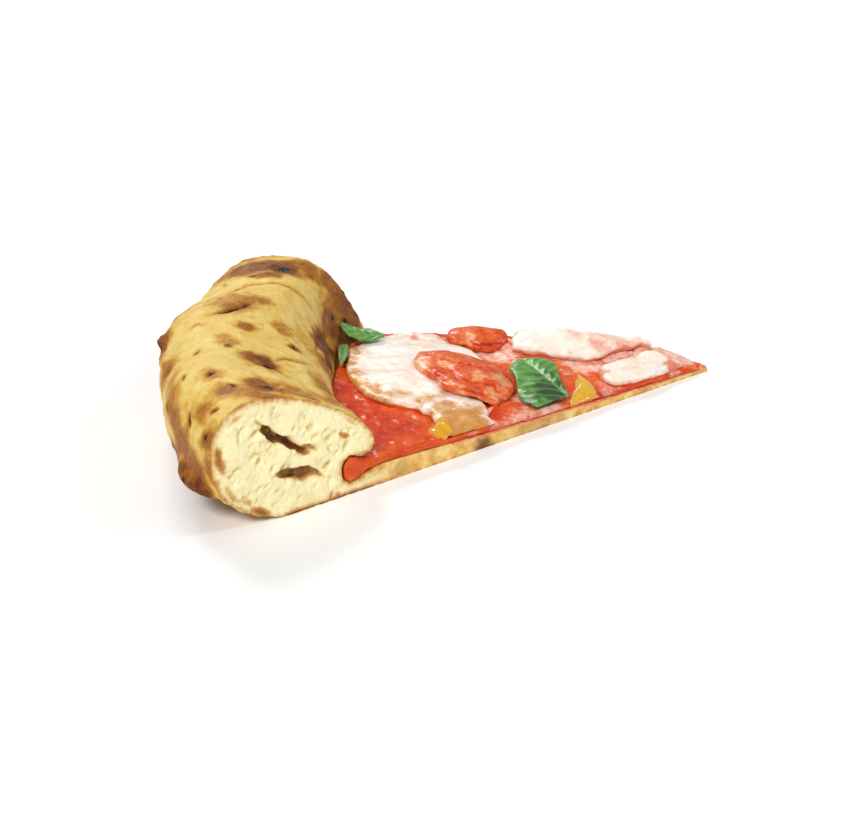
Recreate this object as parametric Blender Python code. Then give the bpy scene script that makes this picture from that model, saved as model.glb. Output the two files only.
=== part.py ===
"""A slice of Neapolitan cheese pizza, an eighth of the whole.

One piece of dough makes the thin base and the thick, puffed rim. On it lie a
layer of tomato sauce, three pools of melted mozzarella, two soft pieces of
tomato, two basil leaves with a torn strip, and two pools of olive oil.

Metres, +Z up. The slice rests on z = 0 with its tip towards +X, and the origin
is the middle of its footprint. The shapes are worked out from the corner where
the two cuts meet, which an empty then carries to its place: there, a place is a
distance from the tip and a share of the way from the near cut (0) to the far
cut (1), and the near cut is the one towards -Y.
"""

import math
import random

import bmesh
import bpy
from mathutils import Matrix, Vector, noise
from mathutils.bvhtree import BVHTree

MM = 0.001

# Driving dimensions
CUT_ANGLE = math.radians(45)
NEAR_RADIUS = 154 * MM
FAR_RADIUS = 134 * MM
TIP_RADIUS = 1.2 * MM
BASE_AT_TIP = 1.1 * MM
BASE_AT_RIM = 4.6 * MM
BASE_POWER = 0.8
FAR_EDGE_RISE = 1.8 * MM
NEAR_EDGE_DROP = 0.5 * MM
SAUCE_AT_TIP = 1.0 * MM
SAUCE_AT_RIM = 1.6 * MM
SAUCE_START = 3.5 * MM
GAP = 0.35 * MM

# How finely the solids are faceted
STATIONS = 28
SAUCE_STATIONS = 20
BASE_POINTS = 15
UNDERSIDE_POINTS = 4

# The rim's outline, as distance in from its outside and height, from the base
# in the middle of the slice, over the rim and round to the underside. Along the
# near cut the rim hangs over a pocket that the sauce has run into.
RIM_NEAR = (
    (50, 4.6), (44, 4.8), (40, 4.4), (37, 3.1), (34.8, 2.6),
    (33, 4.2), (32.9, 7.4), (34.8, 9.5), (37.6, 7.9), (40.6, 8.5),
    (41.8, 11.3), (40.1, 15.2), (34.8, 19.4), (28, 23), (20.6, 26.4),
    (13.6, 28.6), (7.8, 28.6), (3.2, 26.6), (0.5, 22.8), (-0.1, 18.4),
    (0.6, 13.6), (2.6, 8.6), (6, 4.6), (11, 1.6), (17, 0),
)
RIM_FAR = (
    (50, 4.6), (48.2, 4.6), (46.8, 4.6), (45.8, 4.7), (45, 4.85),
    (44.3, 5.15), (43.7, 5.7), (43.2, 6.5), (42.7, 7.6), (42, 9.4),
    (41, 11.8), (39.2, 14.6), (36.8, 17.8), (33.6, 21.4), (29.4, 25),
    (23.6, 27.6), (16, 27.8), (9.2, 26), (4, 22.4), (1, 17.4),
    (0.3, 12.4), (1.6, 7.4), (4.4, 3.6), (8.4, 1), (14, 0),
)
POCKET_END = 8
LIP = 10
LAST_ON_THE_SIDE = 21

# The rim's foot lies further out in the middle of the slice than at the far cut
WAIST = 4.8 * MM
WAIST_AT = 0.79
WAIST_WIDTH = 0.2

# Where the bottom edge was pressed out into a thin lip beside the near cut
PRESSED_EDGE = {20: (0.4, 12.8), 21: (-0.6, 9.6), 22: (4.4, 7.4), 23: (10, 2.4)}
PRESSED_EDGE_AT = 0.1
PRESSED_EDGE_WIDTH = 0.07

# Gas bubbles under the rim's skin: share along the rim, place on its outline,
# radius and height
RIM_BUBBLES = (
    (0.66, 15.0, 15, 1.4),
    (0.6, 17.6, 13, 3.0),
    (0.22, 16.4, 10, 1.2),
    (0.9, 17.5, 11, 1.2),
    (0.38, 18.4, 5, 1.5),
    (0.97, 13.2, 9, 0.8),
    (0.3, 13.0, 8, 1.0),
)

# Toppings, as outlines in millimetres from the tip
MOZZARELLA_BY_RIM = (
    (-98.5, 3), (-97, 14.5), (-93.5, 22.5), (-88.5, 28), (-82, 30.5), (-76, 28.5),
    (-70.5, 24.5), (-66.5, 19), (-63, 12.5), (-60.5, 6), (-61, -1.5), (-64.5, -10),
    (-69.5, -16), (-70.5, -22), (-69.5, -30), (-76, -36), (-84.5, -36), (-84.5, -29.5),
    (-84.5, -25), (-86, -20.5), (-90.5, -16), (-95, -12), (-98, -6),
)
MOZZARELLA_AT_FAR_CUT = (
    (-51.5, 11.5), (-50.5, 17.5), (-46, 22), (-36, 18), (-26, 12.5), (-17, 8.5),
    (-12.5, 4.5), (-15, 3.5), (-22, 5.5), (-29, 3.5), (-37, 3), (-43, 5.5), (-48.5, 8.5),
)
MOZZARELLA_AT_TIP = (
    (-35, -4.5), (-31, -1), (-26, 1), (-19, 2.5), (-12.5, 1.5), (-8.5, -0.5),
    (-9.5, -2.5), (-15, -5.5), (-21, -8.5), (-27.5, -11), (-33, -12), (-36, -9.5),
)
LONG_TOMATO = (
    (-82, 3.5), (-80.5, 8.5), (-77.5, 10.5), (-73.5, 9.5), (-68, 6.5), (-62, 1.5),
    (-59, -4), (-59.5, -11.5), (-63, -16.5), (-68.5, -18.5), (-73.5, -18),
    (-77.5, -14.5), (-79.5, -9.5), (-81, -3.5),
)
FAR_TOMATO = (
    (-67, 19.5), (-65, 24.5), (-60, 28), (-53.5, 25), (-51, 20),
    (-53, 15.5), (-57.5, 13.5), (-63.5, 15),
)
OIL_BY_LEAF = (
    (-39.5, -2.5), (-38, -7), (-38.5, -13), (-40, -20), (-47, -23), (-48.5, -19),
    (-45.5, -13.5), (-42, -7),
)
OIL_NEAR_CUT = (
    (-87.5, -28.5), (-84.5, -26.5), (-82, -28), (-81.5, -31.5), (-84, -34.5), (-87, -34),
)

# The basil leaves: half widths on the left and right of the midrib, from the
# stem to the tip
TOP_LEAF = ((9.8, 10.8, 10.6, 9, 7.4, 6.6, 6, 1.5), (0.6, 1.2, 2, 3.2, 5, 6.8, 6.6, 2))
RIM_LEAF = ((0.5, 2, 3, 3.6, 4, 4, 3.4, 1.2), (0.5, 2.4, 3.8, 4.6, 4.6, 4, 2.8, 0.8))
TORN_STRIP = ((0.3, 0.9, 1.1, 1, 0.8, 0.3), (0.3, 0.9, 1.1, 1.1, 0.9, 0.3))
LOBE = 2

# Crumb holes in the near cut: distance from the tip, height, width, thickness
# and how steeply they rise away from the tip, in degrees
NEAR_HOLES = (
    (135.5, 17, 20, 2.4, 35),
    (132.6, 8.8, 13.6, 3.2, 14),
    (141.6, 15.8, 3, 2.6, 0),
    (147.4, 21.4, 4.6, 1.6, 60),
    (149.4, 13, 3.6, 1.6, 50),
    (139.2, 24.6, 2.4, 2, 0),
    (130, 21.2, 1.8, 1.6, 0),
    (123.4, 16.2, 2.4, 2, 0),
    (118.6, 15, 3.2, 2, 0),
    (122.6, 11.4, 2.8, 2, 50),
    (146.2, 7.4, 2.4, 1.4, 20),
    (139.4, 3.9, 2.2, 1.4, 10),
    (133.2, 3.4, 1.8, 1.1, 0),
    (124.4, 4.6, 1.8, 2.8, 0),
    (142, 9.4, 1.8, 1.4, 0),
    (151.4, 17.6, 1.4, 3.4, 0),
)
FAR_HOLE_COUNT = 11
FAR_HOLE_SEED = 7

# Slits and burst blisters in the rim's skin: share along the rim, place on its
# outline, length, width, depth and turn from the way along the rim, in degrees
SKIN_SLITS = (
    (0.54, 15.1, 9.2, 2, 1.2, 50),
    (0.48, 15.6, 4.2, 0.9, 0.6, 64),
    (0.23, 13.8, 5.4, 1.6, 1.1, 70),
    (0.09, 14, 4.4, 1.8, 1.2, 127),
    (0.37, 12.9, 2.8, 1.4, 0.9, 66),
    (0.4, 15.6, 3.6, 1.2, 0.7, 160),
    (0.15, 15.9, 2.8, 1.4, 0.9, 62),
    (0.11, 18, 4, 1.2, 0.8, 48),
    (0.85, 15.4, 3.8, 1.4, 0.8, 44),
    (0.78, 16, 3.4, 1.4, 0.8, 52),
    (0.5, 18.4, 7.2, 1.6, 0.9, 12),
    (0.7, 10.6, 9, 5, 1.6, -41),
)


def smooth_step(value, low=0.0, high=1.0):
    t = min(max((value - low) / (high - low), 0.0), 1.0)
    return t * t * (3 - 2 * t)


def mix(a, b, share):
    return a + (b - a) * share


def place(radius, share, height):
    """The point at a distance from the tip and a share of the way between the cuts."""
    angle = (share - 0.5) * CUT_ANGLE
    return Vector((-radius * math.cos(angle), radius * math.sin(angle), height))


def polar(x, y):
    """Distance from the tip and share between the cuts of a point on the slice."""
    return math.hypot(x, y), math.atan2(y, -x) / CUT_ANGLE + 0.5


def spline(points, place_on_it, closed=False):
    """A point on the Catmull-Rom curve through points; a whole place is a point itself."""
    count = len(points)
    span = math.floor(place_on_it)
    t = place_on_it - span

    def at(index):
        index = index % count if closed else min(max(index, 0), count - 1)
        return Vector(points[index])

    before, start, end, after = (at(span + step) for step in (-1, 0, 1, 2))
    return 0.5 * (
        2 * start
        + (end - before) * t
        + (2 * before - 5 * start + 4 * end - after) * t * t
        + (3 * start - before - 3 * end + after) * t ** 3
    )


def outer_radius(share):
    """The rim's outside is nearer the tip at the far cut, and never quite round."""
    wander = 1.2 * MM * noise.noise(Vector((share * 4.2, 3.1, 0.7))) * math.sin(math.pi * share)
    return mix(NEAR_RADIUS, FAR_RADIUS, smooth_step(share)) + wander


def rim_points(share):
    """The rim's control points at a share between the cuts, in metres."""
    morph = smooth_step(share, 0.0, 0.8)
    pressed = math.exp(-(((share - PRESSED_EDGE_AT) / PRESSED_EDGE_WIDTH) ** 2))
    waist = WAIST * math.exp(-(((share - WAIST_AT) / WAIST_WIDTH) ** 2))
    points = []
    for index, (near, far) in enumerate(zip(RIM_NEAR, RIM_FAR)):
        point = Vector(near).lerp(Vector(far), morph)
        if index in PRESSED_EDGE:
            point = point.lerp(Vector(PRESSED_EDGE[index]), pressed)
        point *= MM
        point.x -= waist * smooth_step(index, 0, 3) * (1 - smooth_step(index, LIP, LIP + 5))
        points.append(point)
    return points


def on_rim(share, place_on_outline):
    """The point on the smooth rim at a share and a place on its outline."""
    inward, height = spline(rim_points(share), place_on_outline)
    return place(outer_radius(share) - inward, share, max(height, 0.0))


BUBBLE_CENTRES = [
    (on_rim(share, at), radius * MM, height * MM) for share, at, radius, height in RIM_BUBBLES
]


def rim_relief(point):
    """How far the baked skin stands out at a point: long swells, blisters and bubbles."""
    swell = 1.3 * MM * noise.noise(point / (26 * MM))
    blister = 1.5 * MM * max(noise.noise(point / (11 * MM) + Vector((5, 0, 2))) - 0.12, 0)
    bubbles = sum(
        height * math.exp(-(((point - centre).length / radius) ** 2))
        for centre, radius, height in BUBBLE_CENTRES
    )
    return swell + blister + bubbles


def base_top(radius, share):
    """Height of the dough's top between the tip and the rim's foot."""
    foot = outer_radius(share) - RIM_NEAR[0][0] * MM
    along = min(max(radius / foot, 0.0), 1.0)
    rise = FAR_EDGE_RISE * smooth_step(share, 0.3, 1.0) - NEAR_EDGE_DROP * (1 - share) ** 2
    rise *= math.sin(math.pi * along ** 0.7) ** 0.7
    return mix(BASE_AT_TIP, BASE_AT_RIM, along ** BASE_POWER) + rise


def dough_ring(share):
    """The dough's outline at a share between the cuts, as points round it from the tip."""
    outer = outer_radius(share)
    foot = outer - RIM_NEAR[0][0] * MM
    ring = []
    for step in range(BASE_POINTS):
        radius = mix(TIP_RADIUS, foot, step / BASE_POINTS)
        ring.append(place(radius, share, base_top(radius, share)))
    control = rim_points(share)
    places = [index + half for index in range(len(control) - 1) for half in (0, 0.5)]
    places = [p for p in places if p == int(p) or p > LIP - 1] + [len(control) - 1]
    for at in places:
        inward, height = spline(control, at)
        point = place(outer - inward, share, max(height, 0.0))
        if at > LIP:
            ahead, behind = spline(control, at + 0.1), spline(control, at - 0.1)
            along = ahead - behind
            outward = Vector((along.y, -along.x)).normalized()
            direction = place(-outward.x, share, outward.y)
            fade = smooth_step(at, LIP, LIP + 2) * (1 - smooth_step(at, LAST_ON_THE_SIDE - 1, LAST_ON_THE_SIDE + 1))
            point += direction * rim_relief(point) * fade
        ring.append(point)
    rim_inner = math.hypot(ring[-1].x, ring[-1].y)
    for step in range(1, UNDERSIDE_POINTS + 1):
        radius = mix(rim_inner, TIP_RADIUS, step / UNDERSIDE_POINTS)
        ring.append(place(radius, share, 0))
    return ring


def foot_point(share, index):
    """A control point of the rim's foot, set off into the air by the gap."""
    control = rim_points(share)
    along = spline(control, index + 0.1) - spline(control, index - 0.1)
    into_air = Vector((along.y, -along.x)).normalized()
    inward, height = control[index] + into_air * GAP
    return outer_radius(share) - inward, height


def sauce_top(radius, share):
    """Height of the sauce's top: it thins towards the tip and climbs a little at the rim."""
    foot = outer_radius(share) - RIM_NEAR[0][0] * MM
    along = min(max(radius / foot, 0.0), 1.0)
    level = base_top(radius, share) + GAP + mix(SAUCE_AT_TIP, SAUCE_AT_RIM, along)
    spot = place(radius, share, 0) / (17 * MM)
    level += 0.3 * MM * noise.noise(spot + Vector((9, 4, 1))) - 0.4 * MM * (1 - share) ** 4
    edge_radius, edge_height = foot_point(share, POCKET_END)
    climb = math.exp(-max(edge_radius - radius, 0.0) / (4.5 * MM))
    return mix(level, edge_height, climb)


def sauce_ring(share):
    """The sauce's outline: under it the dough with a gap, over it its own top."""
    foot = outer_radius(share) - RIM_NEAR[0][0] * MM
    ring = []
    for step in range(BASE_POINTS):
        radius = mix(TIP_RADIUS, foot, step / BASE_POINTS)
        if radius > SAUCE_START:
            ring.append(place(radius, share, base_top(radius, share) + GAP))
    for index in range(POCKET_END + 1):
        radius, height = foot_point(share, index)
        ring.append(place(radius, share, height))
    edge_radius = foot_point(share, POCKET_END)[0]
    start = math.hypot(ring[0].x, ring[0].y)
    steps = BASE_POINTS + 5
    for step in range(1, steps + 1):
        radius = mix(edge_radius, start, (step / steps) ** 1.3)
        ring.append(place(radius, share, sauce_top(radius, share)))
    return ring


def finished(name, bm, material):
    """Closes a bmesh's shape into an object of the slice, with its material."""
    bmesh.ops.recalc_face_normals(bm, faces=bm.faces[:])
    bmesh.ops.triangulate(bm, faces=bm.faces[:], ngon_method="EAR_CLIP")
    mesh = bpy.data.meshes.new(name)
    bm.to_mesh(mesh)
    bm.free()
    mesh.shade_smooth()
    mesh.set_sharp_from_angle(angle=math.radians(40))
    mesh.materials.append(material)
    obj = bpy.data.objects.new(name, mesh)
    slice_collection.objects.link(obj)
    return obj


def loft(rings):
    """A closed solid through matching rings, with a cap at each end."""
    bm = bmesh.new()
    rings = [[bm.verts.new(point) for point in ring] for ring in rings]
    for ring, following in zip(rings, rings[1:]):
        for i in range(len(ring)):
            j = (i + 1) % len(ring)
            bm.faces.new((ring[i], ring[j], following[j], following[i]))
    bm.faces.new(reversed(rings[0]))
    bm.faces.new(rings[-1])
    return bm


def cut_by_the_knife(bm):
    """Takes off what lies beyond the two cuts and closes the faces there."""
    for share, side in ((0.0, -1), (1.0, 1)):
        along = place(1, share, 0)
        outward = Vector((along.y, -along.x, 0)) * -side
        if outward.y * side < 0:
            outward = -outward
        bmesh.ops.bisect_plane(
            bm,
            geom=bm.verts[:] + bm.edges[:] + bm.faces[:],
            dist=1e-6,
            plane_co=-outward * GAP,
            plane_no=outward,
            clear_outer=True,
        )
        open_edges = [edge for edge in bm.edges if edge.is_boundary]
        if open_edges:
            bmesh.ops.holes_fill(bm, edges=open_edges, sides=0)


def trees_of(supports):
    """Search trees for finding how high the pieces under a topping reach."""
    depsgraph = bpy.context.evaluated_depsgraph_get()
    return [BVHTree.FromObject(obj, depsgraph) for obj in supports]


def ground(trees, x, y, around=1.1 * MM):
    """The highest point of the pieces below within a short way of a place."""
    heights = [sauce_top(*polar(x, y))]
    ring = [(math.cos(turn) * around, math.sin(turn) * around) for turn in range(6)]
    for step_x, step_y in [(0, 0)] + ring:
        for tree in trees:
            hit = tree.ray_cast(Vector((x + step_x, y + step_y, 0.2)), Vector((0, 0, -1)))[0]
            if hit is not None:
                heights.append(hit.z)
    return max(heights)


def pool(outline, thickness, trees, segments=28, rings=10, dome=0.7, wobble=0.25, grooves=0.0):
    """A soft flattened drop with a plan outline, draped over what is under it."""
    points = [Vector(point) * MM for point in outline]
    centre = sum(points, Vector((0, 0))) / len(points)
    edge = [spline(points, step / 8, closed=True) - centre for step in range(8 * len(points))]

    def reach(bearing):
        """How far the outline lies from the centre in a direction."""
        direction = Vector((math.cos(bearing), math.sin(bearing)))
        return max(edge, key=lambda way: way.normalized().dot(direction)).length

    bm = bmesh.new()
    bmesh.ops.create_uvsphere(bm, u_segments=segments, v_segments=rings, radius=1)
    reaches, grounds = {}, {}
    for vert in bm.verts:
        bearing = round(math.atan2(vert.co.y, vert.co.x), 4)
        spread = round(math.hypot(vert.co.x, vert.co.y), 4)
        if bearing not in reaches:
            reaches[bearing] = reach(bearing)
        flat = centre + Vector((math.cos(bearing), math.sin(bearing))) * reaches[bearing] * spread
        if (bearing, spread) not in grounds:
            grounds[bearing, spread] = ground(trees, flat.x, flat.y)
        height = grounds[bearing, spread] + GAP
        up = vert.co.z
        if up > -0.01:
            ripple = 1 + wobble * noise.noise(Vector((flat.x, flat.y, 0.01)) / (7 * MM))
            furrow = math.cos(flat.dot(Vector((0.86, 0.5))) / (2.1 * MM))
            ridge = 1 - grooves * (0.5 + 0.5 * furrow)
            height += 0.35 * MM + thickness * max(up, 0.0) ** dome * ripple * ridge
        vert.co = (flat.x, flat.y, height)
    return bm


def crumb_hole(bm, share, radius, height, width, thickness, tilt, depth):
    """Adds one gas hole of the crumb, half sunk in a cut face, to the cutters."""
    along = place(1, share, 0)
    across = Vector((-along.y, along.x, 0))
    turn = Matrix((along, across, Vector((0, 0, 1)))).transposed().to_4x4()
    lean = Matrix.Rotation(-math.radians(tilt), 4, "Y")
    size = Matrix.Diagonal((width / 2, depth, thickness / 2, 1))
    spin = Matrix.Rotation(0.3, 4, "Z") @ Matrix.Rotation(0.2, 4, "X")
    move = Matrix.Translation(place(radius, share, height) + across * (0.13 * depth))
    facets = 14 if width > 8 * MM else 7
    bmesh.ops.create_uvsphere(
        bm,
        u_segments=facets,
        v_segments=facets // 2 + 1,
        radius=1,
        matrix=move @ turn @ lean @ size @ spin,
    )


def skin_slit(bm, tree, share, at, length, width, depth, turn):
    """Adds one slit of the rim's skin, half sunk in it, to the cutters."""
    middle, normal = tree.find_nearest(on_rim(share, at))[:2]
    along = (on_rim(share + 0.01, at) - on_rim(share - 0.01, at)).normalized()
    along = (along - normal * along.dot(normal)).normalized()
    heading = Matrix.Rotation(math.radians(-turn), 3, normal) @ along
    frame = Matrix((heading, normal.cross(heading), normal)).transposed().to_4x4()
    size = Matrix.Diagonal((length / 2 * MM, width / 2 * MM, depth * MM, 1))
    bmesh.ops.create_uvsphere(
        bm, u_segments=8, v_segments=5, radius=1, matrix=Matrix.Translation(middle) @ frame @ size
    )


def leaf(widths, thickness, stem, tip, climb, roll, cup, arch, ruffle, steps=12, across=8):
    """A basil leaf from its stem to its tip: a wavy sheet with a sunk midrib.

    A side that is wide at the stem reaches back past it in a lobe.
    """
    bm = bmesh.new()
    bmesh.ops.create_grid(bm, x_segments=steps, y_segments=across, size=1)
    heading = (tip - stem).normalized()
    side = Vector((-heading.y, heading.x))
    sides = [[(width * MM, 0) for width in half] for half in widths]
    widest = max(max(half) for half in widths) * MM
    for vert in bm.verts:
        along, aside = (vert.co.x + 1) / 2, vert.co.y
        half = spline(sides[0 if aside > 0 else 1], along * (len(sides[0]) - 1)).x
        share = half / widest
        back = LOBE * MM * share * abs(aside) * (1 - along) ** 3
        flat = stem + heading * (along * (tip - stem).length - back) + side * (aside * half)
        height = climb * along + arch * math.sin(math.pi * along) - roll * aside * half
        height += cup * (aside * share) ** 2
        height += ruffle * share * aside ** 2 * math.sin(along * 9 + aside * 2)
        height -= 0.5 * MM * share * math.exp(-((aside / 0.2) ** 2))
        vert.co = (flat.x, flat.y, height)
    bmesh.ops.triangulate(bm, faces=bm.faces[:])
    for face in bm.faces:
        face.normal_update()
    if sum(face.normal.z for face in bm.faces) < 0:
        bmesh.ops.reverse_faces(bm, faces=bm.faces[:])
    bmesh.ops.solidify(bm, geom=bm.faces[:], thickness=thickness)
    return bm


def rest_on(bm, trees, clearance):
    """Lowers a loose piece until it is a clearance above what is under it."""
    samples = [vert.co.copy() for vert in bm.verts] + [face.calc_center_median() for face in bm.faces]
    free = []
    for point in samples:
        for tree in trees:
            hit = tree.ray_cast(Vector((point.x, point.y, 0.2)), Vector((0, 0, -1)))[0]
            if hit is not None:
                free.append(point.z - hit.z)
    bmesh.ops.translate(bm, verts=bm.verts[:], vec=(0, 0, clearance - min(free)))


def food_material(name, colour, roughness):
    """A plain finish for one food; none of them is metallic."""
    material = bpy.data.materials.new(name)
    material.use_nodes = True
    shader = material.node_tree.nodes["Principled BSDF"]
    shader.inputs["Base Color"].default_value = (*colour, 1)
    shader.inputs["Roughness"].default_value = roughness
    shader.inputs["Metallic"].default_value = 0
    material.diffuse_color = (*colour, 1)
    return material


def make_dough():
    """Base and rim in one piece, with the crumb's gas holes open in both cuts."""
    bm = loft([dough_ring(step / STATIONS) for step in range(STATIONS + 1)])
    underside = [face for face in bm.faces if all(vert.co.z < 1e-6 for vert in face.verts)]
    edges = {edge for face in underside for edge in face.edges}
    inner = [edge for edge in edges if all(face in underside for face in edge.link_faces)]
    bmesh.ops.dissolve_edges(bm, edges=inner, use_verts=True)
    dough = finished("dough", bm, food_material("baked dough", (0.62, 0.40, 0.13), 0.7))
    bpy.context.view_layer.update()
    cutters = bmesh.new()
    for radius, height, width, thickness, tilt in NEAR_HOLES:
        depth = max(1.6 * MM, 0.3 * width * MM)
        crumb_hole(cutters, 0.0, radius * MM, height * MM, width * MM, thickness * MM, tilt, depth)
    tree = BVHTree.FromObject(dough, bpy.context.evaluated_depsgraph_get())
    for slit in SKIN_SLITS:
        skin_slit(cutters, tree, *slit)
    for radius, height, width in far_holes():
        crumb_hole(cutters, 1.0, radius, height, width, width * 0.6, 20, width * 0.6)
    bmesh.ops.recalc_face_normals(cutters, faces=cutters.faces[:])
    mesh = bpy.data.meshes.new("crumb_holes")
    cutters.to_mesh(mesh)
    cutters.free()
    holes = bpy.data.objects.new("crumb_holes", mesh)
    holes.hide_render = True
    holes.display_type = "WIRE"
    cutter_collection.objects.link(holes)
    cut = dough.modifiers.new("crumb holes", "BOOLEAN")
    cut.operation = "DIFFERENCE"
    cut.object = holes
    return dough, holes


def far_holes():
    """Scattered gas holes in the far cut of the rim, none touching another."""
    draw = random.Random(FAR_HOLE_SEED)
    found = []
    while len(found) < FAR_HOLE_COUNT:
        inward, height = draw.uniform(6, 36) * MM, draw.uniform(4, 24) * MM
        width = draw.choice((1.8, 2.4, 3.2, 5, 7)) * MM
        dome = 27 * MM * math.sin(math.pi * min(inward / (44 * MM), 1)) ** 0.5
        radius = outer_radius(1.0) - inward
        if height + width / 2 > dome - 2.5 * MM:
            continue
        if all(math.hypot(radius - r, height - h) > (width + w) / 2 + 1 * MM for r, h, w in found):
            found.append((radius, height, width))
    return found


def make_toppings(dough):
    """Sauce, cheese, tomato, oil and basil, each lying on what is under it."""
    edge = 0.0016
    shares = [mix(edge, 1 - edge, step / SAUCE_STATIONS) for step in range(SAUCE_STATIONS + 1)]
    red = food_material("tomato sauce", (0.62, 0.075, 0.02), 0.3)
    white = food_material("melted mozzarella", (0.86, 0.74, 0.60), 0.35)
    flesh = food_material("soft tomato", (0.60, 0.07, 0.025), 0.3)
    green = food_material("basil", (0.05, 0.22, 0.04), 0.4)
    golden = food_material("olive oil", (0.75, 0.45, 0.02), 0.1)
    made = [finished("tomato_sauce", loft([sauce_ring(share) for share in shares]), red)]
    drops = (
        ("mozzarella_by_rim", MOZZARELLA_BY_RIM, 1.9, white, {"segments": 44, "rings": 14}),
        ("mozzarella_at_far_cut", MOZZARELLA_AT_FAR_CUT, 2.4, white, {"segments": 32}),
        ("mozzarella_at_tip", MOZZARELLA_AT_TIP, 1.6, white, {}),
        ("tomato_long_piece", LONG_TOMATO, 2.4, flesh, {"segments": 32, "grooves": 0.3}),
        ("tomato_at_far_cut", FAR_TOMATO, 2.6, flesh, {"grooves": 0.15}),
        ("olive_oil_by_leaf", OIL_BY_LEAF, 0.6, golden, {"segments": 20, "rings": 8, "wobble": 0}),
        ("olive_oil_near_cut", OIL_NEAR_CUT, 0.6, golden, {"segments": 18, "rings": 8, "wobble": 0}),
    )
    for name, outline, thickness, material, form in drops:
        bm = pool(outline, thickness * MM, trees_of(made), **form)
        cut_by_the_knife(bm)
        made.append(finished(name, bm, material))
    leaves = (
        ("basil_leaf_on_top", TOP_LEAF, (-48.8, -19.2), (-53.4, 1.6), 2.4, 0, -1.2, 1, 0.7),
        ("basil_leaf_by_rim", RIM_LEAF, (-84.2, 23.4), (-94.6, 27.2), 2.8, 0, -0.8, -1, 0.4),
        ("basil_strip_by_rim", TORN_STRIP, (-95, 21.8), (-98.9, 9.2), -0.2, 0, 0.2, 0.3, 0.2),
    )
    for name, widths, stem, tip, climb, roll, cup, arch, ruffle in leaves:
        across = 4 if widths is TORN_STRIP else 8
        bm = leaf(
            widths, 0.5 * MM, Vector(stem) * MM, Vector(tip) * MM,
            climb * MM, roll, cup * MM, arch * MM, ruffle * MM, across=across,
        )
        rest_on(bm, trees_of([dough] + made), 0.4 * MM)
        made.append(finished(name, bm, green))
    return made


def stand_at_origin(parts, followers):
    """Hangs everything on an empty that brings the footprint's middle to the origin."""
    bpy.context.view_layer.update()
    corners = [part.matrix_world @ Vector(corner) for part in parts for corner in part.bound_box]
    middle_x = (min(c.x for c in corners) + max(c.x for c in corners)) / 2
    middle_y = (min(c.y for c in corners) + max(c.y for c in corners)) / 2
    carrier = bpy.data.objects.new("pizza_slice", None)
    carrier.location = (-middle_x, -middle_y, 0)
    slice_collection.objects.link(carrier)
    for obj in parts + followers:
        obj.parent = carrier
    print(f"tip corner at x {-middle_x / MM:.2f} mm, y {-middle_y / MM:.2f} mm")


for old in list(bpy.data.objects):
    bpy.data.objects.remove(old)
slice_collection = bpy.data.collections.new("cheese pizza slice")
cutter_collection = bpy.data.collections.new("cutters")
for collection in (slice_collection, cutter_collection):
    bpy.context.scene.collection.children.link(collection)
dough_object, hole_object = make_dough()
bpy.context.view_layer.update()
topping_objects = make_toppings(dough_object)
stand_at_origin([dough_object] + topping_objects, [hole_object])
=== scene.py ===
# %% [markdown]
# # A slice of cheese pizza
# The slice is real food: a puffed, blistered rim with its crumb open at two
# knife cuts, a thin base, tomato sauce, melted mozzarella, soft tomato, basil
# and a little olive oil. Its solids come packed from the CAD step. This lesson
# dresses each of them: the form is copied, divided finely, carved and painted.

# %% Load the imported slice
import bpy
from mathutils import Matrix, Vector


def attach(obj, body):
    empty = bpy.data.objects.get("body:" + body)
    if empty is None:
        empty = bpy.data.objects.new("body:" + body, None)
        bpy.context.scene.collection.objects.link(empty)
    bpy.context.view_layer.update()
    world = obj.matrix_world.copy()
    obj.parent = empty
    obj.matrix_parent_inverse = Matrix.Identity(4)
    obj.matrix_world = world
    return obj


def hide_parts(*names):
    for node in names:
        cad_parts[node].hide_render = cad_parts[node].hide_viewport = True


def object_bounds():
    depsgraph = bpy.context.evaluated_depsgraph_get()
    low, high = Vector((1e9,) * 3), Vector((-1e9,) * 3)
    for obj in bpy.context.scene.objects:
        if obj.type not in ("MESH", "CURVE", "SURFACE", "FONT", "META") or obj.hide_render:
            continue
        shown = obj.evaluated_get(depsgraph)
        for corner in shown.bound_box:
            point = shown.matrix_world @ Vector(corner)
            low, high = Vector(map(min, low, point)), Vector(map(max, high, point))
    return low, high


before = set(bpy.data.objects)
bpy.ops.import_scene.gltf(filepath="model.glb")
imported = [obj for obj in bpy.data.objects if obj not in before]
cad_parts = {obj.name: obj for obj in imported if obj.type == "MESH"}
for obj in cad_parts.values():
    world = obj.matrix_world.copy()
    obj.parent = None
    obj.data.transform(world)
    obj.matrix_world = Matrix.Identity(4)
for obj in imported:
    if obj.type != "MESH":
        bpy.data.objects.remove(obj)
cad_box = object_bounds()
print("solids:", ", ".join(sorted(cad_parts)))

# %% [markdown]
# ## Places on the slice
# The baker's measures all start at the tip, where the two cuts meet, an eighth
# of a turn apart. Every later step asks how deep a point lies behind each cut,
# or how far in it is from the outside of the rim, so both become helpers. The
# rim's outside runs from one radius to another, as it does in the solid.

# %% Measures from the tip
import math
import random

import bmesh
import bpy
from mathutils import Matrix, Vector, kdtree, noise
from mathutils.bvhtree import BVHTree

MM = 0.001
TIP = Vector((74.6, 3.92, 0)) * MM
CUT_ANGLE = math.radians(45)
NEAR_RADIUS = 154 * MM
FAR_RADIUS = 134 * MM
RIM_WIDTH = 46 * MM
UP = Vector((0, 0, 1))
NEAR_OUT = Vector((math.sin(CUT_ANGLE / 2), -math.cos(CUT_ANGLE / 2), 0))
FAR_OUT = Vector((math.sin(CUT_ANGLE / 2), math.cos(CUT_ANGLE / 2), 0))


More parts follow.
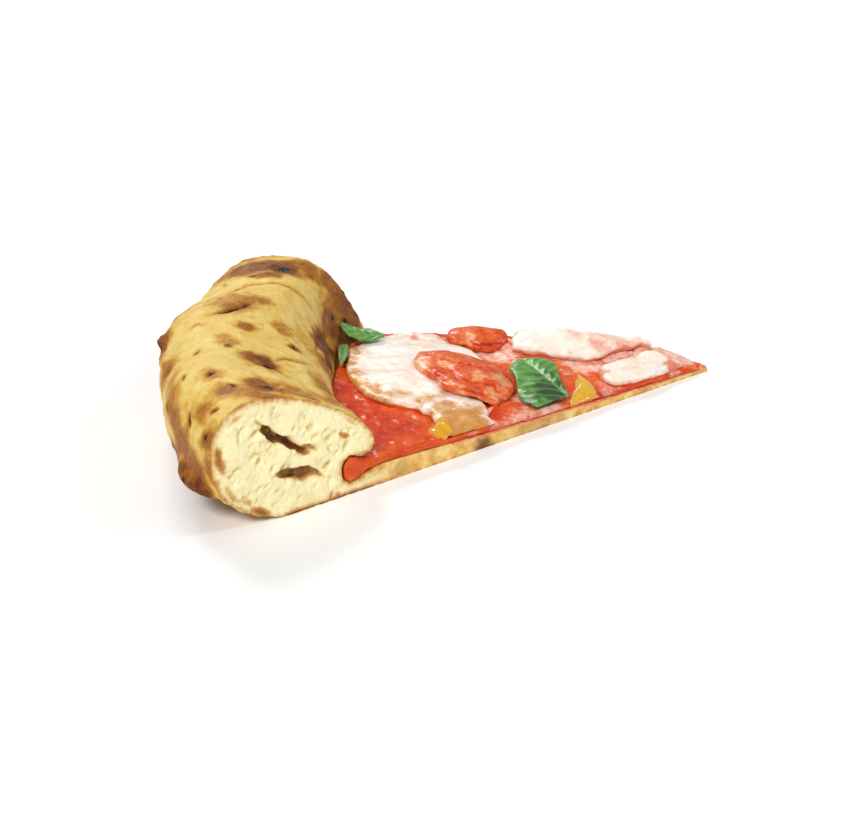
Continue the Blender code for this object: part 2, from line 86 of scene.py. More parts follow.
def smooth_step(value, low=0.0, high=1.0):
    t = min(max((value - low) / (high - low), 0.0), 1.0)
    return t * t * (3 - 2 * t)


def behind_cuts(point):
    """How deep a point lies behind the near cut and behind the far cut."""
    offset = point - TIP
    return -offset.dot(NEAR_OUT), -offset.dot(FAR_OUT)


def from_tip(point):
    """How far a point lies from the tip, along the table."""
    return math.hypot(point.x - TIP.x, point.y - TIP.y)


def from_outside(point):
    """How far in a point lies from the outside of the rim."""
    offset = point - TIP
    share = math.atan2(offset.y, -offset.x) / CUT_ANGLE + 0.5
    outside = NEAR_RADIUS + (FAR_RADIUS - NEAR_RADIUS) * smooth_step(share)
    return outside - math.hypot(offset.x, offset.y)


print("slice:", [round(high - low, 4) for low, high in zip(*cad_box)])

# %% [markdown]
# ## The camera
# The picture looks down a little on the near cut, from the left of it. The
# camera comes first because marks such as scorched spots are placed by where
# the picture shows them: a ray through that place finds the point on the food.

# %% Camera and the ray through a place in the picture
PICTURE_WIDTH, PICTURE_HEIGHT = 850, 823
AIM = Vector((-16.6, -35.38, 15)) * MM
BACKWARD = Vector((-0.25945, -0.88211, 0.39314)).normalized()
DISTANCE = 0.337


def add_object(name, data):
    made = bpy.data.objects.new(name, data)
    bpy.context.scene.collection.objects.link(made)
    return made


camera_data = bpy.data.cameras.new("camera")
camera_data.sensor_width = 36
camera_data.sensor_fit = "HORIZONTAL"
camera_data.lens = 63.53
camera = add_object("camera", camera_data)
camera.location = AIM + BACKWARD * DISTANCE
camera.rotation_euler = BACKWARD.to_track_quat("Z", "Y").to_euler()
bpy.context.scene.camera = camera


def ray_through(x, y):
    """The direction from the camera through a place in the picture."""
    spread = camera_data.sensor_width / camera_data.lens / PICTURE_WIDTH
    across = (x - PICTURE_WIDTH / 2) * spread
    down = (y - PICTURE_HEIGHT / 2) * spread
    return camera.rotation_euler.to_matrix() @ Vector((across, -down, -1)).normalized()


def seen_at(tree, x, y):
    """The point of a piece that the picture shows at a place, or None."""
    return tree.ray_cast(camera.location, ray_through(x, y))[0]


print("camera at", [round(value, 4) for value in camera.location])

# %% [markdown]
# ## From a solid to a skin that can be carved
# The solids have facets a few millimetres wide. Baked and melted food has no
# facets, and its blisters and pores are far smaller. A voxel remesh divides the
# whole surface evenly, and a few rounds of smoothing take the facets out. The
# knife left two true planes, so points near a cut only slide within it, and
# the underside stays flat on the table.

# %% Copy, remesh and smooth
WELD_WITHIN = 0.001 * MM
HELD_WITHIN = 0.7 * MM


def even_skin(node, voxel, *layers):
    """A copy of a solid as a bmesh of small, even faces, with layers to paint."""
    copy = add_object("copy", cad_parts[node].data.copy())
    bm = bmesh.new()
    bm.from_mesh(copy.data)
    bmesh.ops.remove_doubles(bm, verts=bm.verts[:], dist=WELD_WITHIN)
    bm.to_mesh(copy.data)
    remesh = copy.modifiers.new("even skin", "REMESH")
    remesh.mode = "VOXEL"
    remesh.voxel_size = voxel
    bm.clear()
    bm.from_object(copy, bpy.context.evaluated_depsgraph_get())
    bpy.data.objects.remove(copy)
    for layer in layers:
        bm.verts.layers.float.new(layer)
    bm.normal_update()
    return bm


def soften(bm, verts, factor):
    bmesh.ops.smooth_vert(
        bm, verts=verts, factor=factor, use_axis_x=True, use_axis_y=True, use_axis_z=True
    )


def smooth_within_cuts(bm, rounds, verts=None, crisp=0.0):
    """Smooths all or some points, which keep to the cuts and to the underside.

    What lies within the crisp distance of a plane is set right on it first.
    """
    verts = verts or bm.verts[:]
    held = []
    for vert in verts:
        near, far = behind_cuts(vert.co)
        for depth, normal in ((near, NEAR_OUT), (far, FAR_OUT), (vert.co.z, -UP)):
            if depth < HELD_WITHIN:
                level = vert.co.dot(normal) + (depth if depth < crisp else 0)
                held.append((vert, normal, level))
    for _ in range(rounds):
        soften(bm, verts, 0.5)
        for vert, normal, level in held:
            vert.co += normal * (level - vert.co.dot(normal))
    bm.normal_update()


# %% [markdown]
# ## Tools for carving and painting
# Scorched spots, slits and stains are all the same kind of work: find the
# points within reach of a spot or a line, and give each a strength that fades
# outwards. Strengths are kept in named layers of the mesh, which the materials
# read later. Noise makes the outline of a spot uneven.

# %% Spots, lines and layers
def tree_of(bm):
    return BVHTree.FromBMesh(bm)


def finder_of(bm, verts=None):
    """A search tree over a bmesh's points, or over some of them."""
    bm.verts.ensure_lookup_table()
    finder = kdtree.KDTree(len(bm.verts))
    for vert in verts or bm.verts:
        finder.insert(vert.co, vert.index)
    finder.balance()
    return finder


def canvas_of(bm):
    """A bmesh with search trees of its surface and points, as marks need them."""
    return bm, tree_of(bm), finder_of(bm)


def layer_of(bm, name):
    return bm.verts.layers.float[name]


def paint_spot(canvas, name, centre, radius, strength, rough=0.45):
    """Raises a layer round a point, with an uneven edge."""
    bm, tree, finder = canvas
    layer = layer_of(bm, name)
    for co, index, distance in finder.find_range(centre, radius * 1.5):
        uneven = 1 + rough * noise.noise(co / (0.45 * radius) + centre * 900)
        value = strength * (1 - smooth_step(distance * uneven / radius, 0.35, 1.25))
        vert = bm.verts[index]
        vert[layer] = max(vert[layer], value)


def stain(canvas, name, spots):
    """Paints spots given by their place in the picture, size and strength."""
    for x, y, radius, strength in spots:
        point = seen_at(canvas[1], x, y)
        if point:
            paint_spot(canvas, name, point, radius * MM, strength)


def points_along(tree, places, step):
    """Evenly spaced points on a piece under a line of the picture."""
    corners = [point for point in (seen_at(tree, x, y) for x, y in places) if point]
    points = corners[:1]
    for start, end in zip(corners, corners[1:]):
        count = max(int((end - start).length / step), 1)
        points += [start.lerp(end, (i + 1) / count) for i in range(count)]
    return points


def press_line(canvas, places, width, depth, name=None, strength=1.0, step=0.4 * MM):
    """Presses a groove under a line of the picture, in millimetres, and may paint it."""
    bm, tree, finder = canvas
    points = points_along(tree, places, step)
    reach = width * MM
    pressed = {}
    for order, point in enumerate(points):
        taper = math.sin(math.pi * (order + 0.7) / (len(points) + 0.4)) ** 0.5
        for co, index, distance in finder.find_range(point, 2.2 * reach):
            value = taper * math.exp(-((distance / (reach * (0.4 + 0.6 * taper))) ** 2))
            pressed[index] = max(pressed.get(index, 0), value)
    layer = layer_of(bm, name) if name else None
    for index, value in pressed.items():
        vert = bm.verts[index]
        vert.co -= vert.normal * (depth * MM * value)
        if name:
            vert[layer] = max(vert[layer], strength * value)


def serve(bm, name, material, slot, *nodes):
    """Makes a piece of the slice from a bmesh, in place of its solid."""
    mesh = bpy.data.meshes.new(name)
    bm.to_mesh(mesh)
    bm.free()
    mesh.shade_smooth()
    mesh.materials.append(material)
    piece = add_object(name, mesh)
    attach(piece, "root")
    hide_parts(*nodes)
    print(name, "-", len(mesh.polygons), "faces")


# %% [markdown]
# ## Tools for the finishes
# A finish is a small tree of nodes round one Principled shader. These helpers
# add the few kinds of node that every food here needs: noise of a real size in
# millimetres, a painted layer, a row of colours, a blend and a bump. Colours
# are given as they look on a screen, and turned into the linear values that
# light needs.

# %% Node helpers
def paint(red, green, blue):
    """A screen colour, from 0 to 255, as the linear colour of a shader."""
    return tuple(((part / 255 + 0.055) / 1.055) ** 2.4 for part in (red, green, blue)) + (1.0,)


def finish_of(name, **fixed):
    """A new material whose even values are set on the shader itself."""
    material = bpy.data.materials.new(name)
    material.use_nodes = True
    tree = material.node_tree
    shader = tree.nodes["Principled BSDF"]
    for socket, value in fixed.items():
        shader.inputs[socket.replace("_", " ")].default_value = value
    return material, tree, shader


def feed(tree, socket, value):
    """Sets a socket to a value, another socket or the painted layer of a name."""
    if isinstance(value, str):
        layer = tree.nodes.new("ShaderNodeAttribute")
        layer.attribute_name = value
        value = layer.outputs["Fac"]
    if isinstance(value, bpy.types.NodeSocket):
        tree.links.new(value, socket)
    else:
        socket.default_value = value


def speckle(tree, size):
    """Cloudy noise of one size in millimetres, about 0.3 to 0.7."""
    made = tree.nodes.new("ShaderNodeTexNoise")
    place = tree.nodes.new("ShaderNodeTexCoord").outputs["Object"]
    tree.links.new(place, made.inputs["Vector"])
    made.inputs["Scale"].default_value = 1 / (size * MM)
    return made.outputs["Fac"]


def scaled(tree, value, factor, added=0.0):
    """A value times a factor, plus a number or another value."""
    made = tree.nodes.new("ShaderNodeMath")
    made.operation = "MULTIPLY_ADD"
    for socket, part in zip(made.inputs, (value, factor, added)):
        feed(tree, socket, part)
    return made.outputs[0]


def stirred(tree, value, *grains):
    """A value made uneven by noises, each of a size and an amount."""
    for size, amount in grains:
        swing = scaled(tree, speckle(tree, size), amount, -0.5 * amount)
        value = scaled(tree, swing, 1.0, value)
    return value


def between(tree, value, low, high):
    """0 below the low value and 1 above the high one, with a soft step."""
    made = tree.nodes.new("ShaderNodeMapRange")
    made.interpolation_type = "SMOOTHSTEP"
    feed(tree, made.inputs["Value"], value)
    made.inputs["From Min"].default_value = low
    made.inputs["From Max"].default_value = high
    return made.outputs["Result"]


def graded(tree, value, *stops):
    """Turns a value into a colour, by a row of places and screen colours."""
    made = tree.nodes.new("ShaderNodeValToRGB")
    feed(tree, made.inputs["Fac"], value)
    row = made.color_ramp.elements
    row[0].position, row[1].position = stops[0][0], stops[-1][0]
    for place, *_ in stops[1:-1]:
        row.new(place)
    for stop, (place, *colour) in zip(row, stops):
        stop.color = paint(*colour)
    return made.outputs["Color"]


def blend(tree, share, first, second):
    made = tree.nodes.new("ShaderNodeMix")
    made.data_type = "RGBA"
    feed(tree, made.inputs[0], share)
    feed(tree, made.inputs[6], first)
    feed(tree, made.inputs[7], second)
    return made.outputs[2]


def bump(tree, shader, depth, strength, *grains):
    """Fine noisy relief, too small for the mesh, with its depth in millimetres."""
    made = tree.nodes.new("ShaderNodeBump")
    made.inputs["Strength"].default_value = strength
    made.inputs["Distance"].default_value = depth * MM
    feed(tree, made.inputs["Height"], stirred(tree, 0.5, *grains))
    tree.links.new(made.outputs["Normal"], shader.inputs["Normal"])


# %% [markdown]
# ## The dough: which face is which
# One piece of dough shows three surfaces: the baked skin, the flat cuts and the
# gas holes that the cuts opened. The cuts are found by their direction. What is
# left falls apart into islands: the largest is the skin, and each small one is
# the inside of a hole.

# %% Skin, cut and hole
HOLE_DEPTH = 8 * MM
CUT_WITHIN = 0.35 * MM
dough = even_skin(
    "dough", 0.62 * MM, "crumb", "hole_shade", "rind", "toast_and_shade", "char_and_shade", "base", "sauced"
)
smooth_within_cuts(dough, 2, crisp=0.4 * MM)
rim_verts = [vert for vert in dough.verts if from_outside(vert.co) < RIM_WIDTH - 2 * MM]
smooth_within_cuts(dough, 8, rim_verts)


def on_a_cut(face):
    near, far = behind_cuts(face.calc_center_median())
    return (near < CUT_WITHIN and face.normal.dot(NEAR_OUT) > 0.8) or (
        far < CUT_WITHIN and face.normal.dot(FAR_OUT) > 0.8
    )


def islands(faces):
    """Groups of faces that hang together."""
    left, found = set(faces), []
    while left:
        group, edge_of_group = [], [left.pop()]
        while edge_of_group:
            face = edge_of_group.pop()
            group.append(face)
            for edge in face.edges:
                for other in edge.link_faces:
                    if other in left:
                        left.remove(other)
                        edge_of_group.append(other)
        found.append(group)
    return sorted(found, key=len)


cut_faces = [face for face in dough.faces if on_a_cut(face)]
cut_set = set(cut_faces)
groups = islands(face for face in dough.faces if face not in cut_set)
skin_faces = groups[-1]
hole_faces = [
    face
    for group in groups[:-1]
    for face in group
    if min(behind_cuts(face.calc_center_median())) < HOLE_DEPTH
]
print(len(cut_faces), "cut,", len(skin_faces), "skin and", len(hole_faces), "hole faces")
print(len(groups) - 1, "holes")

# %% [markdown]
# ## The open crumb
# Bread that is cut open shows bubbles of all sizes. The large slits are already
# holes of the solid. Here the cuts of the rim are divided once more, so that
# small pores can be pressed in: each cell of a Voronoi pattern is a bubble, and
# the cell's own throw of the dice decides whether it is open and how deep. The
# pattern is stretched along the slits, as the dough was pulled when it rose.

# %% Pores in the crumb
crumb_layer, hole_shade_layer = layer_of(dough, "crumb"), layer_of(dough, "hole_shade")
rind_layer = layer_of(dough, "rind")
for face in cut_faces + hole_faces:
    for vert in face.verts:
        vert[crumb_layer] = 1.0
beside_cut = [f for f in skin_faces if min(behind_cuts(f.calc_center_median())) < 1.3 * MM]
rim_cut = [
    face
    for face in cut_faces + hole_faces + beside_cut
    if from_outside(face.calc_center_median()) < RIM_WIDTH
]
rim_edges = list({edge for face in rim_cut for edge in face.edges})
bmesh.ops.subdivide_edges(dough, edges=rim_edges, cuts=1, use_grid_fill=True)
wide = [face for face in dough.faces if len(face.verts) > 4]
bmesh.ops.triangulate(dough, faces=wide)
dough.normal_update()

skin_finder = finder_of(dough, [
    vert
    for vert in dough.verts
    if vert[crumb_layer] < 0.4 and min(behind_cuts(vert.co)) < 2 * MM
])
crumb_verts = [vert for vert in dough.verts if vert[crumb_layer] > 0.4]
# Crumb is painted darker the deeper it lies behind the cut, inside the holes: painted shade.
for vert in crumb_verts:
    depth = min(behind_cuts(vert.co))
    vert[hole_shade_layer] = smooth_step(depth, 0.2 * MM, 2.2 * MM)
    vert[rind_layer] = math.exp(-skin_finder.find(vert.co)[2] / (1.1 * MM))


def bubble(point, size, openness):
    """How deep a pore of one size is at a point of a cut, from 0 to 1."""
    leaning = Matrix.Rotation(math.radians(32), 3, "Y") @ point
    leaning.x *= 0.55
    distances, cells = noise.voronoi(leaning / size)
    chance = noise.cell(cells[0] * 57)
    if abs(chance) > openness:
        return 0.0
    uneven = 0.30 + 0.16 * noise.noise(point / (0.5 * size))
    return 1 - smooth_step(distances[0], 0.6 * uneven, 1.35 * uneven)


def drift(point, size):
    """A push to any side, which changes smoothly over a size; up to about 0.7."""
    seeds = ((9.3, 1.5, 7.9), (2.7, 13.1, 4.4), (17.2, 6.8, 3.3))
    return Vector([noise.noise(point / size + Vector(seed)) for seed in seeds])


def torn(point):
    """How far the crumb gave way sideways at a point, so that holes look torn."""
    reach = smooth_step(RIM_WIDTH - 2 * MM - from_outside(point), 0, 6 * MM)
    shift = 1.25 * drift(point, 4.4 * MM) + 0.4 * drift(point, 1.7 * MM)
    shift.y = 0
    return shift * (reach * MM)


for vert in crumb_verts:
    if min(behind_cuts(vert.co)) < 7 * MM:
        vert.co += torn(vert.co) * (1 - smooth_step(vert[rind_layer], 0.04, 0.25))
for vert in crumb_verts:
    if vert[hole_shade_layer] > 0.02 or from_outside(vert.co) > RIM_WIDTH - MM:
        continue
    near, far = behind_cuts(vert.co)
    inward = -NEAR_OUT if near < far else -FAR_OUT
    inside = 1 - smooth_step(vert[rind_layer], 0.05, 0.3)
    pores = 0.55 * bubble(vert.co, 2.6 * MM, 0.4) + 0.3 * bubble(vert.co, 1.3 * MM, 0.5)
    grain = 0.07 * noise.noise(vert.co / (0.9 * MM)) + 0.1 * noise.noise(vert.co / (3 * MM))
    vert.co += inward * ((pores * inside + grain + 0.12) * MM)
    # Deeper pores are painted darker: painted shade.
    vert[hole_shade_layer] = max(vert[hole_shade_layer], 0.42 * smooth_step(pores, 0.1, 0.6) * inside)
print(len(crumb_verts), "points of crumb")

# %% [markdown]
# ## The baked skin
# A rim baked in a very hot oven is tight and smooth over its bubbles, wrinkled
# where they sagged, and blistered all over. Three sizes of noise give that
# relief. It fades out on the underside and under the sauce. The slits and folds
# that the picture shows are pressed in after, as lines, and the ledges of its
# left outline are raised the same way.

# %% Wrinkles, blisters, slits and folds
skin_verts = [vert for vert in dough.verts if vert[crumb_layer] < 0.6]
for vert in skin_verts:
    co = vert.co
    fade = smooth_step(RIM_WIDTH - from_outside(co), 0, 6 * MM)
    fade *= smooth_step(co.z, 0.2 * MM, 2.5 * MM)
    if fade <= 0:
        continue
    wrinkle = 0.28 * (0.35 - abs(noise.noise(co / (5 * MM) + Vector((3, 1, 4)))))
    blister = 0.55 * max(noise.noise(co / (2.6 * MM) + Vector((8, 2, 5))) - 0.15, 0)
    grain = 0.1 * noise.noise(co / (1.3 * MM))
    vert.co += vert.normal * (fade * (wrinkle + blister + grain) * MM)
dough.normal_update()

SLITS = (
    (((209, 315), (222, 312), (236, 308), (247, 304), (257, 301)), 0.75, 0.9),
    (((257, 364), (263, 365), (270, 367), (278, 368)), 0.7, 0.8),
    (((254, 382), (262, 385), (270, 388), (277, 389)), 0.7, 0.9),
    (((176, 317), (180, 309), (187, 301)), 0.6, 0.6),
    (((190, 412), (189, 420), (190, 427)), 0.45, 0.5),
    (((203, 444), (205, 438), (208, 432)), 0.45, 0.5),
    (((210, 415), (214, 411), (218, 408)), 0.35, 0.4),
    (((206, 377), (210, 374), (213, 372)), 0.4, 0.5),
    (((195, 355), (198, 351)), 0.35, 0.4),
    (((293, 347), (298, 350)), 0.55, 0.6),
    (((250, 277), (257, 276)), 0.5, 0.5),
    (((275, 271), (283, 270), (286, 273)), 0.5, 0.5),
    (((183, 380), (184, 375)), 0.35, 0.4),
    (((230, 387), (236, 387)), 0.35, 0.3),
    (((161, 368), (158, 355), (162, 342), (166, 338)), 0.5, 0.6),
    (((164, 364), (163, 352)), 0.4, 0.4),
)
FOLDS = (
    (((215, 307), (228, 293), (246, 285), (268, 282),
      (288, 286), (304, 297), (312, 309), (316, 319)), 0.7, 0.6),
    (((272, 325), (283, 324), (293, 330), (303, 341)), 0.6, 0.45),
    (((274, 361), (284, 358), (297, 361), (313, 366)), 0.6, 0.45),
    (((318, 305), (326, 303), (334, 296), (341, 292)), 0.6, 0.45),
    (((325, 313), (323, 324), (317, 338), (317, 350), (324, 362), (334, 374)), 0.8, 0.6),
    (((335, 327), (340, 340), (338, 356), (334, 374)), 0.8, 0.6),
    (((191, 329), (196, 324), (203, 325)), 0.6, 0.25),
    (((222, 284), (227, 287)), 0.5, 0.25),
)
LEDGES = (
    (((181, 464), (185, 473), (193, 482), (204, 490), (213, 496)), 1.4, 1.7),
    (((164, 338), (163, 343), (163, 348)), 1.2, 1.5),
    (((163, 353), (164, 359), (166, 366)), 1.2, 1.4),
    (((164, 373), (166, 384)), 1.2, 0.5),
    (((168, 402), (171, 414)), 1.2, 0.5),
)
dough_canvas = canvas_of(dough)
# Slits are painted char inside and toast beside them: partly scorch, partly painted shade in the
# slit.
for places, width, depth in SLITS:
    press_line(dough_canvas, places, width, depth, "char_and_shade")
    press_line(dough_canvas, places, 2.2 * width, 0, "toast_and_shade", 0.95)
# Folds are painted toast along their grooves: painted shade.
for places, width, depth in FOLDS:
    press_line(dough_canvas, places, width, depth, "toast_and_shade", 0.8)
for places, width, height in LEDGES:
    press_line(dough_canvas, places, width, -height, "toast_and_shade", 0.9)
dough.normal_update()
print(len(SLITS), "slits,", len(FOLDS), "folds,", len(LEDGES), "ledges")

# %% [markdown]
# ## Where the oven browned it
# The skin is golden where it swelled least, brown on the high places, and nearly
# black on small blisters, the leopard spots. Along the left outline and the lower
# edge of the rim the brown is partly toast and partly painted shade. Each spot
# that the picture shows is painted where it shows it: place, size and strength.

# %% Toasted areas and leopard spots
# Toast spots; those along the left outline and the lower edge of the rim are partly painted
# shade.
TOAST_AND_EDGE_SHADE = (
    (245, 271, 7, 0.75), (262, 266, 7, 0.85), (285, 266, 8, 0.85), (308, 268, 7, 0.7),
    (330, 284, 7, 0.8), (342, 300, 8, 0.95), (350, 318, 7, 0.9), (330, 325, 8, 0.8),
    (322, 345, 6, 0.95), (330, 365, 5, 0.95), (335, 310, 7, 0.75), (345, 335, 7, 0.85),
    (182, 305, 6, 0.8), (168, 325, 5, 0.7), (164, 345, 5, 0.8), (166, 372, 5, 0.75),
    (170, 398, 5, 0.7), (175, 420, 5, 0.7), (183, 445, 6, 0.75), (195, 468, 6, 0.8),
    (190, 482, 5, 1.0), (203, 490, 5, 1.0), (184, 470, 4, 0.9), (210, 470, 4, 0.7),
    (260, 362, 6, 0.85), (262, 386, 6, 0.9), (236, 306, 6, 0.65), (248, 392, 5, 0.6),
    (300, 393, 7, 0.62), (325, 398, 6, 0.6), (272, 398, 6, 0.6), (226, 390, 4, 0.75),
    (212, 375, 3.4, 0.7), (246, 326, 3.4, 0.7), (228, 341, 3.4, 0.62), (224, 337, 3, 0.6),
    (240, 300, 6, 0.6), (203, 412, 4, 0.6), (208, 440, 4, 0.75), (284, 330, 4, 0.55),
    (199, 296, 6, 0.6), (212, 284, 6, 0.6), (226, 276, 6, 0.5), (230, 300, 6, 0.6),
    (170, 384, 4, 0.6), (172, 410, 4, 0.6), (178, 432, 4, 0.6), (186, 452, 5, 0.6),
    (352, 305, 6, 0.8), (268, 274, 5, 0.8), (262, 301, 3, 0.6), (306, 340, 5, 0.4),
)
SCORCHED = (
    (268, 366, 1.3), (268, 387, 1.7), (283, 269, 2.4), (295, 348, 1.0), (232, 385, 0.8),
    (212, 373, 0.8), (228, 345, 0.6), (178, 309, 1.6), (214, 411, 0.6), (205, 438, 0.9),
    (162, 350, 1.8), (253, 276, 1.0), (345, 322, 1.6), (332, 318, 1.2), (190, 480, 1.2),
    (326, 352, 1.0),
)
stain(dough_canvas, "toast_and_shade", TOAST_AND_EDGE_SHADE)
for layer, growth in (("char_and_shade", 1.0), ("toast_and_shade", 2.4)):
    stain(dough_canvas, layer, [(x, y, growth * radius, 0.9) for x, y, radius in SCORCHED])
print(len(TOAST_AND_EDGE_SHADE), "toasted and", len(SCORCHED), "scorched spots in view")

# %% [markdown]
# ## The sides out of view
# The side of the rim turned away from the camera is made a little more toasted.
# It and the underside get spots of the same kinds, thrown at random from a fixed
# seed, so that every run gives the same slice.

# %% Spots on the back and the underside
SEED = 12
BACK_TOAST = 0.36
BACK_SPOTS, UNDERSIDE_SPOTS, WIDE_SPOTS = 60, 90, 26
SPOT_SIZES = (0.8, 1.1, 1.6, 2.4, 3.6)
CHAR_CHANCE = 0.7
toast_and_shade_layer = layer_of(dough, "toast_and_shade")
for vert in skin_verts:
    if from_outside(vert.co) < 30 * MM:
        turned_away = smooth_step(-vert.normal.dot(BACKWARD), -0.15, 0.45)
        vert[toast_and_shade_layer] = max(vert[toast_and_shade_layer], BACK_TOAST * turned_away)
back = [
    vert
    for vert in skin_verts
    if vert.normal.dot(BACKWARD) < 0.05
    and from_outside(vert.co) < 40 * MM
    and vert.co.z > 2 * MM
]
underside = [vert for vert in skin_verts if vert.co.z < 0.2 * MM]
dice = random.Random(SEED)
for group, count in ((back, BACK_SPOTS), (underside, UNDERSIDE_SPOTS)):
    for vert in dice.sample(group, count):
        radius = dice.choice(SPOT_SIZES) * MM
        paint_spot(dough_canvas, "toast_and_shade", vert.co.copy(), 2.1 * radius, 1.0)
        if dice.random() < CHAR_CHANCE:
            paint_spot(dough_canvas, "char_and_shade", vert.co.copy(), 0.9 * radius, 0.9)
    for vert in dice.sample(group, WIDE_SPOTS):
        paint_spot(dough_canvas, "toast_and_shade", vert.co.copy(), dice.uniform(5, 11) * MM, 0.7)
print(BACK_SPOTS, "spots on the back,", UNDERSIDE_SPOTS, "on the underside")

# %% [markdown]
# ## Marks on the cut
# The picture shows brown along the rind of the cut, small slits and rings in the
# crumb, and dark places on the side of the base. Brown lines are only painted,
# and the slits are pressed in too. Two more layers say where the base begins
# and what the sauce covers.

# %% Rind, small slits and the base
CRUMB_BROWN = (
    (((216, 446), (218, 460), (224, 476)), 1.5, 0.8),
    (((219, 450), (220, 464)), 1.0, 0.9),
    (((222, 482), (232, 498), (246, 508)), 1.2, 0.6),
    (((250, 509), (272, 515), (300, 514)), 1.3, 0.9),
    (((296, 515), (322, 508), (338, 496)), 1.4, 0.8),
    (((318, 506), (330, 496)), 1.6, 0.6),
    (((339, 434), (349, 436)), 0.9, 0.8),
    (((226, 430), (234, 421), (246, 412)), 1.0, 0.45),
    (((338, 413), (352, 422), (362, 430)), 0.9, 0.5),
    (((242, 500), (252, 505)), 1.1, 0.6),
)
CRUMB_SLITS = (
    (((255, 421), (262, 426), (270, 431)), 0.5, 0.9),
    (((258, 423), (268, 432), (280, 441)), 0.45, 0.8),
    (((303, 446), (312, 449), (318, 451)), 0.8, 1.3),
    (((276, 474), (284, 475), (292, 473)), 0.6, 1.0),
    (((306, 468), (316, 472), (325, 478)), 0.7, 1.1),
    (((300, 469), (305, 466), (309, 469)), 0.5, 0.8),
    (((250, 424), (243, 428), (238, 434), (238, 441), (242, 446)), 0.3, 0.45),
    (((236, 480), (233, 473), (237, 469), (245, 470)), 0.3, 0.45),
    (((261, 450), (261, 443), (268, 441), (272, 446), (268, 451), (264, 447)), 0.3, 0.4),
    (((327, 437), (326, 430), (332, 428)), 0.3, 0.4),
    (((334, 444), (328, 448), (333, 455)), 0.3, 0.4),
    (((333, 492), (331, 499), (334, 503)), 0.35, 0.5),
    (((270, 411), (275, 408), (272, 413)), 0.3, 0.4),
    (((217, 445), (218, 455), (222, 449)), 0.3, 0.4),
    (((304, 415), (306, 419)), 0.3, 0.4),
    (((240, 503), (244, 499), (247, 500)), 0.3, 0.4),
    (((273, 505), (279, 503)), 0.3, 0.4),
    (((298, 499), (304, 495)), 0.3, 0.4),
    (((311, 505), (314, 504)), 0.3, 0.4),
    (((258, 489), (262, 487)), 0.3, 0.4),
)
BASE_MARKS = (
    (526, 430, 3, 0.28), (545, 424, 3.4, 0.28), (560, 418, 2.6, 0.28), (400, 470, 3, 0.28),
    (536, 426, 2.4, 0.28),
)
for places, width, strength in CRUMB_BROWN:
    press_line(dough_canvas, places, width, 0, "rind", strength)
# Small slits are painted darker the deeper they are pressed: painted shade.
for places, width, depth in CRUMB_SLITS:
    press_line(dough_canvas, places, width, depth, "hole_shade", 0.35 + 0.45 * depth, 0.2 * MM)
stain(dough_canvas, "char_and_shade", BASE_MARKS)
base_layer, sauced_layer = layer_of(dough, "base"), layer_of(dough, "sauced")
for vert in dough.verts:
    vert[base_layer] = smooth_step(from_outside(vert.co), 36 * MM, 50 * MM)
    if vert.normal.z > 0.3 and vert.co.z > MM and from_tip(vert.co) < 90 * MM:
        vert[sauced_layer] = 1.0
print(len(CRUMB_BROWN) + len(CRUMB_SLITS), "lines on the cut")

# %% [markdown]
# ## The finish of the dough
# One finish serves skin and crumb, led by the painted layers. The skin runs
# from pale gold to brown with a dust of flour, then to a dull black on the
# scorched blisters. The crumb is creamy and lets light in a little, and its
# holes, pores and small slits are painted tan to brown with their depth: painted shade.

# %% Finish: baked dough
dough_finish, t, shader = finish_of(
    "baked dough", Specular_IOR_Level=0.2, Subsurface_Weight=0.12, Subsurface_Scale=1.5 * MM,
    Subsurface_Radius=(1.0, 0.55, 0.25),
)
# The toast layer also holds painted shade: in the folds, beside the slits, and along the left and
# lower edge of the rim.
toast_and_shade = stirred(t, "toast_and_shade", (11, 0.6), (3.2, 0.45), (1.1, 0.35), (0.45, 0.35))
skin_colour = graded(
    t, scaled(t, toast_and_shade, 0.72, 0.14),
    (0.0, 234, 208, 130), (0.25, 220, 184, 90), (0.45, 200, 150, 56),
    (0.65, 160, 98, 28), (0.85, 112, 58, 18), (1.0, 78, 38, 14),
)
flour_place = between(t, stirred(t, 0.5, (9, 1.0), (2.5, 0.6), (0.7, 0.7)), 0.62, 0.95)
skin_colour = blend(t, scaled(t, flour_place, 0.35), skin_colour, paint(238, 216, 156))
# The scorch black covers the leopard spots; inside the slits it is partly painted shade.
scorch = between(t, stirred(t, "char_and_shade", (1.4, 0.5), (0.6, 0.3)), 0.4, 0.85)
skin_colour = blend(t, scorch, skin_colour, paint(46, 26, 16))
# Crumb colour goes from cream to brown with the painted shade of holes, pores and slits.
crumb_colour = graded(
    t, stirred(t, "hole_shade", (1.6, 0.25)),
    (0.0, 254, 243, 194), (0.3, 250, 230, 166), (0.55, 214, 170, 100), (1.0, 146, 92, 44),
)
cloudy = between(t, stirred(t, 0.5, (4.5, 1.0), (1.2, 0.5)), 0.42, 0.9)
crumb_colour = blend(t, cloudy, crumb_colour, paint(244, 222, 158))
rind = stirred(t, "rind", (3.0, 0.5), (0.8, 0.3))
rind_colour = graded(
    t, rind, (0.3, 236, 206, 140), (0.6, 206, 152, 84), (0.85, 160, 100, 46), (1.0, 124, 72, 30)
)
crumb_colour = blend(t, between(t, rind, 0.12, 0.6), crumb_colour, rind_colour)
base_colour = graded(
    t, stirred(t, 0.5, (6, 1.0), (1.5, 0.6)),
    (0.25, 248, 218, 146), (0.5, 238, 192, 110), (0.8, 212, 144, 70),
)
base_colour = blend(t, "char_and_shade", base_colour, paint(110, 60, 22))
crumb_colour = blend(t, "base", crumb_colour, base_colour)
edge = between(t, stirred(t, "crumb", (0.8, 0.3)), 0.35, 0.7)
dough_colour = blend(t, edge, skin_colour, crumb_colour)
